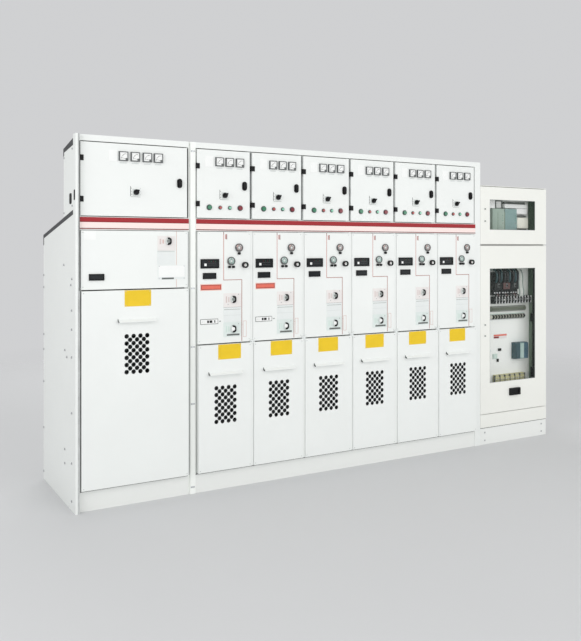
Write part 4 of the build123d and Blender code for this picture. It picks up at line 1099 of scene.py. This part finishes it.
# Painted shade beside the mounting plates, where the inside of the cabinet's right side lies in shade: dark
# sheets, a lighter green edge as painted light, and its blocks
SIDE_SHADE_X = (MOUNT_X[1] - 8, SUPPLY_RIGHT - 4)
SHADE_START_X = MOUNT_X[1] + 34
SHADE_EDGE_X = (SIDE_SHADE_X[0] - 12, SHADE_START_X)
SHADE_EDGE_HIGH = (1235, LOWER_MOUNT[1])
SIDE_BLOCKS = ((1000, 1072), (500, 590))
side_shade = Pile()
for z_span, tint in ((LOWER_MOUNT, RUBBER), (UPPER_MOUNT, SHADE_GREEN)):
    bar(side_shade, (SHADE_START_X, SIDE_SHADE_X[1]), shift((-6, 2), MOUNT_FACE), z_span, tint, 1.0)
    bar(side_shade, (SIDE_SHADE_X[0], SHADE_START_X), shift((-2, 2), MOUNT_FACE), z_span, DARK_GREEN_LIT, 1.0)
for z_span in (SHADE_EDGE_HIGH, UPPER_MOUNT):
    bar(side_shade, SHADE_EDGE_X, shift((-9, -1), MOUNT_FACE), z_span, SHADE_GREEN, 1.5)
for z_span in SIDE_BLOCKS:
    bar(side_shade, (MOUNT_X[1] + 6, SIDE_SHADE_X[1]), shift((-24, -5), MOUNT_FACE), z_span, BLACK, 2.0)
side_shade.make("supply_side_shade", ROOT)

# Leads in the supply cabinet, as routes of (share of the sway, distance ahead of the plate, height)
BREAKER_ROUTE = (
    (0, 56, breakers[1] + 14),
    (0, 70, breakers[1] + 26),
    (1, 72, breakers[1] + 60),
    (-1, 70, breakers[1] + 100),
    (0, 40, breakers[1] + 126),
    (0, 4, breakers[1] + 138),
)
BRANCH_ROUTE = (
    (0, 44, breakers[1] - 84),
    (0, 58, breakers[1] - 96),
    (1, 50, breakers[1] - 106),
    (1, 34, switches[1] + 29),
)
CONTROL_ROUTE = (
    (0, 34, switches[1] + 28),
    (0, 48, switches[1] + 58),
    (1, 28, breakers[1] - 20),
    (-1, 30, breakers[1] + 60),
    (0, 16, breakers[1] + 104),
    (0, 3, breakers[1] + 118),
)
BREAKER_COLOURS = (WIRE_BLUE, WIRE_BLACK, WIRE_BLUE, WIRE_BLACK, WIRE_BLACK)
BRANCH_COLOURS = (WIRE_BLACK, WIRE_BROWN, WIRE_BLACK)
CONTROL_COLOURS = (WIRE_WHITE, WIRE_GREY, WIRE_WHITE, WIRE_WHITE, WIRE_GREY)
POLE_GROUP_GAP = 11


def leads(pile, places, route, radius, colours):
    """Wires along one route, each from its own place (x, sway), their colours in turn."""
    for step, (x, sway) in enumerate(places):
        points = [(x + share * sway, MOUNT_FACE - ahead, z) for share, ahead, z in route]
        strand(pile, points, radius, colours[step % len(colours)])


poles = [breakers[0] + x + (step // 3 - 1) * POLE_GROUP_GAP for step, x in enumerate(row(9, POLE_PITCH))]
targets = [switches[0] + x for x in row(13, SWITCH_PITCH)]
wires = Pile()
leads(wires, [(x, 4 - step * 3 % 9) for step, x in enumerate(poles)], BREAKER_ROUTE, 9, BREAKER_COLOURS)
leads(wires, [(x, target - x) for x, target in zip(poles, targets)], BRANCH_ROUTE, 4.5, BRANCH_COLOURS)
control_places = [(breakers[0] + 160 + 17 * step, 5 - step * 4 % 9) for step in range(5)]
leads(wires, control_places, CONTROL_ROUTE, 5, CONTROL_COLOURS)
wires.make("supply_wiring", ROOT)

# Behind the upper window, boxes as x span from the cabinet's side, z span, reach and material
UPPER_BOXES = (
    ((274, 372), (1998, 2078), 18, PLATE_DARK),
    ((290, 346), (2012, 2068), 24, BLANK),
    ((384, 636), (2046, 2068), 22, PLATE_DARK),
    # The white box at the upper left stands forward to catch the light: it paints a bright reflection on the
    # glass
    ((150, 238), (2005, 2085), 60, BLANK),
    ((363, 640), (2010, 2046), 50, BLANK),
    ((505, 640), (1962, 2008), 46, BLANK),
)
upper_inside = Pile()
bank(upper_inside, modules, MODULE_REACH, row(2, MODULE_PITCH), MODULE_BLOCKS, MODULE_HEADS)
bank(upper_inside, modules, MODULE_REACH, [-MODULE_PITCH / 2 - 8, 0], MODULE_PARTINGS)
for x_span, z_span, reach, material in UPPER_BOXES:
    bar(upper_inside, shift(x_span, SUPPLY_LEFT), (MOUNT_FACE - reach, MOUNT_FACE), z_span, material, 1.5)
bank(upper_inside, white_box, BOX_REACH, [0], BOX_BLOCKS)
upper_inside.make("supply_upper_details", ROOT)

# Painted shade behind the slots of the upper end panel and the left post: dark bars that darken the slots
SLOT_SHADE_X = shift((3, 7), LEFT_END)
slot_shade = Pile()
bar(slot_shade, SLOT_SHADE_X, shift((52, 140), DOOR_FACE), (1932, 2022), RUBBER, 1.5)
bar(slot_shade, SLOT_SHADE_X, shift((-25, 25), DOOR_FACE), (1952, 2040), RUBBER, 1.5)
slot_shade.make("end_slot_shade", ROOT)

# Dark lips on the sloping edges of both ends, painted dark as the shade under the roof edge: outline of
# (distance behind the doors, rise), rear, rear height
ROW_RIGHT = corners("edge_trims")[1].x
SLOPE = math.tan(math.radians(10))
LIP = 1.5
END_LIPS = (
    (((30, 14), (860, 14), (860, -60), (846, -60), (846, -12), (30, -14)), 860, 1742),
    (((30, 22), (270, 22), (270, -26), (258, -26), (258, -6), (30, -20)), 270, 2290),
)
edge_lip_shade = Pile()
for end in (LEFT_END, ROW_RIGHT):
    for outline, rear, rear_top in END_LIPS:
        section = [(DOOR_FACE + deep, rear_top + (rear - deep) * SLOPE + rise) for deep, rise in outline]
        skin(edge_lip_shade, [[(x, y, z) for y, z in section] for x in (end - LIP, end + LIP)], TRIM_SHADE)
edge_lip_shade.make("end_edge_lips_shade", ROOT)

# Dark joint lines above the plinths, those of the row also painted shade under the proud covers, and bars of
# painted shade in the gaps beside the joint strip and along the seal of the left post
SUPPLY_PLINTH = corners("supply_bottom_panel")[0].z
ROW_PLINTH = COVER_LOW - 8
JOINT_RISE = (-6, -0.5)
STRIP_GAP_SHADE_X = shift((-6.5, -2.5), METERING_RIGHT)
POST_GAP_SHADE_X = shift((-4.5, -0.5), METERING_LEFT)
POST_SHADE_FACE = COVER_FACE + 4
METERING_COVER = (COVER_LOW, METERING_JOINT - PANEL_SEAT)
joint_shade = Pile()
for x_span, top in (*[(run, ROW_PLINTH) for run in RUNS], (inset(SUPPLY_X, 1), SUPPLY_PLINTH)):
    plate(joint_shade, x_span, shift(JOINT_RISE, top), PLINTH_FACE, 0.8, JOINT_SHADE)
for z_span, face in ((METERING_COVER, COVER_FACE), (METERING_MECH, MECH_FACE)):
    bar(joint_shade, STRIP_GAP_SHADE_X, (face + 6, NOSE_FACE), z_span, GAP, 0.8)
bar(joint_shade, POST_GAP_SHADE_X, (POST_SHADE_FACE - SINK, POST_SHADE_FACE + 1), (METERING_JOINT, DOOR_HIGH), JOINT_SHADE, 0.2)
joint_shade.make("plinth_joints_and_gap_shade", ROOT)

# Floor, light and camera, in metres

FLOOR_REACH = 14.0
FLOOR_FADE = (3.0, 8.5)
FLOOR_COLOUR = (0.66, 0.665, 0.675)
BACKDROP = (0.63, 0.635, 0.645, 1)
WORLD_LIGHT = (0.93, 0.935, 0.93, 1)
WORLD_STRENGTH = 0.72


def studio_floor(name):
    """A pale floor that fades out with distance, so that no horizon shows."""
    made = surface(name, FLOOR_COLOUR, 0.85, tone=0.01, patch=0.4, grain=60, relief=0.01, specular=0.1)
    tree = made.node_tree
    place = node_of(tree, "TexCoord")
    length = node_of(tree, "VectorMath")
    length.operation = "LENGTH"
    join(place, "Object", length, 0)
    start, end = FLOOR_FADE
    fade = node_of(tree, "MapRange", From_Min=start, From_Max=end, To_Min=1.0, To_Max=0.0)
    fade.interpolation_type = "SMOOTHSTEP"
    join(length, "Value", fade, "Value")
    join(fade, "Result", tree.nodes["Principled BSDF"], "Alpha")
    return made


floor_mesh = bpy.data.meshes.new("floor")
floor_corners = [(x * FLOOR_REACH, y * FLOOR_REACH, 0) for x, y in ((-1, -1), (1, -1), (1, 1), (-1, 1))]
floor_mesh.from_pydata(floor_corners, [], [(0, 1, 2, 3)])
floor_mesh.materials.append(studio_floor("studio_floor"))
floor = in_scene("floor", floor_mesh)


def studio_world(name):
    """Even light all round, and a plain pale backdrop where the camera or a reflection sees past it all."""
    made = bpy.data.worlds.new(name)
    made.use_nodes = True
    tree = made.node_tree
    lit = tree.nodes["Background"]
    lit.inputs["Color"].default_value = WORLD_LIGHT
    lit.inputs["Strength"].default_value = WORLD_STRENGTH
    seen = node_of(tree, "Background", Color=BACKDROP, Strength=1.0)
    path = node_of(tree, "LightPath")
    either, out = path, "Is Camera Ray"
    for ray in ("Is Glossy Ray", "Is Transmission Ray"):
        most = node_of(tree, "Math")
        most.operation = "MAXIMUM"
        join(either, out, most, 0)
        join(path, ray, most, 1)
        either, out = most, "Value"
    mix = node_of(tree, "MixShader")
    join(either, out, mix, "Fac")
    join(lit, "Background", mix, 1)
    join(seen, "Background", mix, 2)
    join(mix, "Shader", tree.nodes["World Output"], "Surface")
    return made


bpy.context.scene.world = studio_world("studio")


def soft_light(name, place, target, size, power):
    """A large rectangular lamp turned to a target."""
    lamp = bpy.data.lights.new(name, "AREA")
    lamp.shape = "RECTANGLE"
    lamp.size, lamp.size_y = size
    lamp.energy = power
    holder = in_scene(name, lamp)
    holder.location = place
    holder.rotation_euler = (Vector(target) - Vector(place)).to_track_quat("-Z", "Y").to_euler()


soft_light("key", (1.5, -7.0, 5.0), (0.3, 0.0, 1.2), (6.0, 4.0), 94)
soft_light("front", (0.0, -8.0, 1.5), (0.6, 0.0, 1.2), (5.0, 2.0), 74)
soft_light("right", (4.2, -5.5, 1.7), (1.75, -0.4, 1.4), (2.0, 2.0), 30)
soft_light("fill", (-6.5, -3.0, 3.2), (-1.0, 0.0, 1.2), (4.0, 4.0), 113)
soft_light("back", (1.0, 6.0, 4.5), (0.0, 0.0, 1.2), (6.0, 3.0), 120)

camera_data = bpy.data.cameras.new("camera")
camera_data.sensor_width = 36.0
camera_data.lens = 43.91
camera_data.shift_y = -0.1144
camera_data.clip_end = 300.0
camera = in_scene("camera", camera_data)
camera.location = (-3.3519, -5.3472, 1.6682)
camera.rotation_euler = (math.radians(90), 0, math.radians(-29.81))
bpy.context.scene.camera = camera
bpy.context.scene.view_settings.view_transform = "Standard"
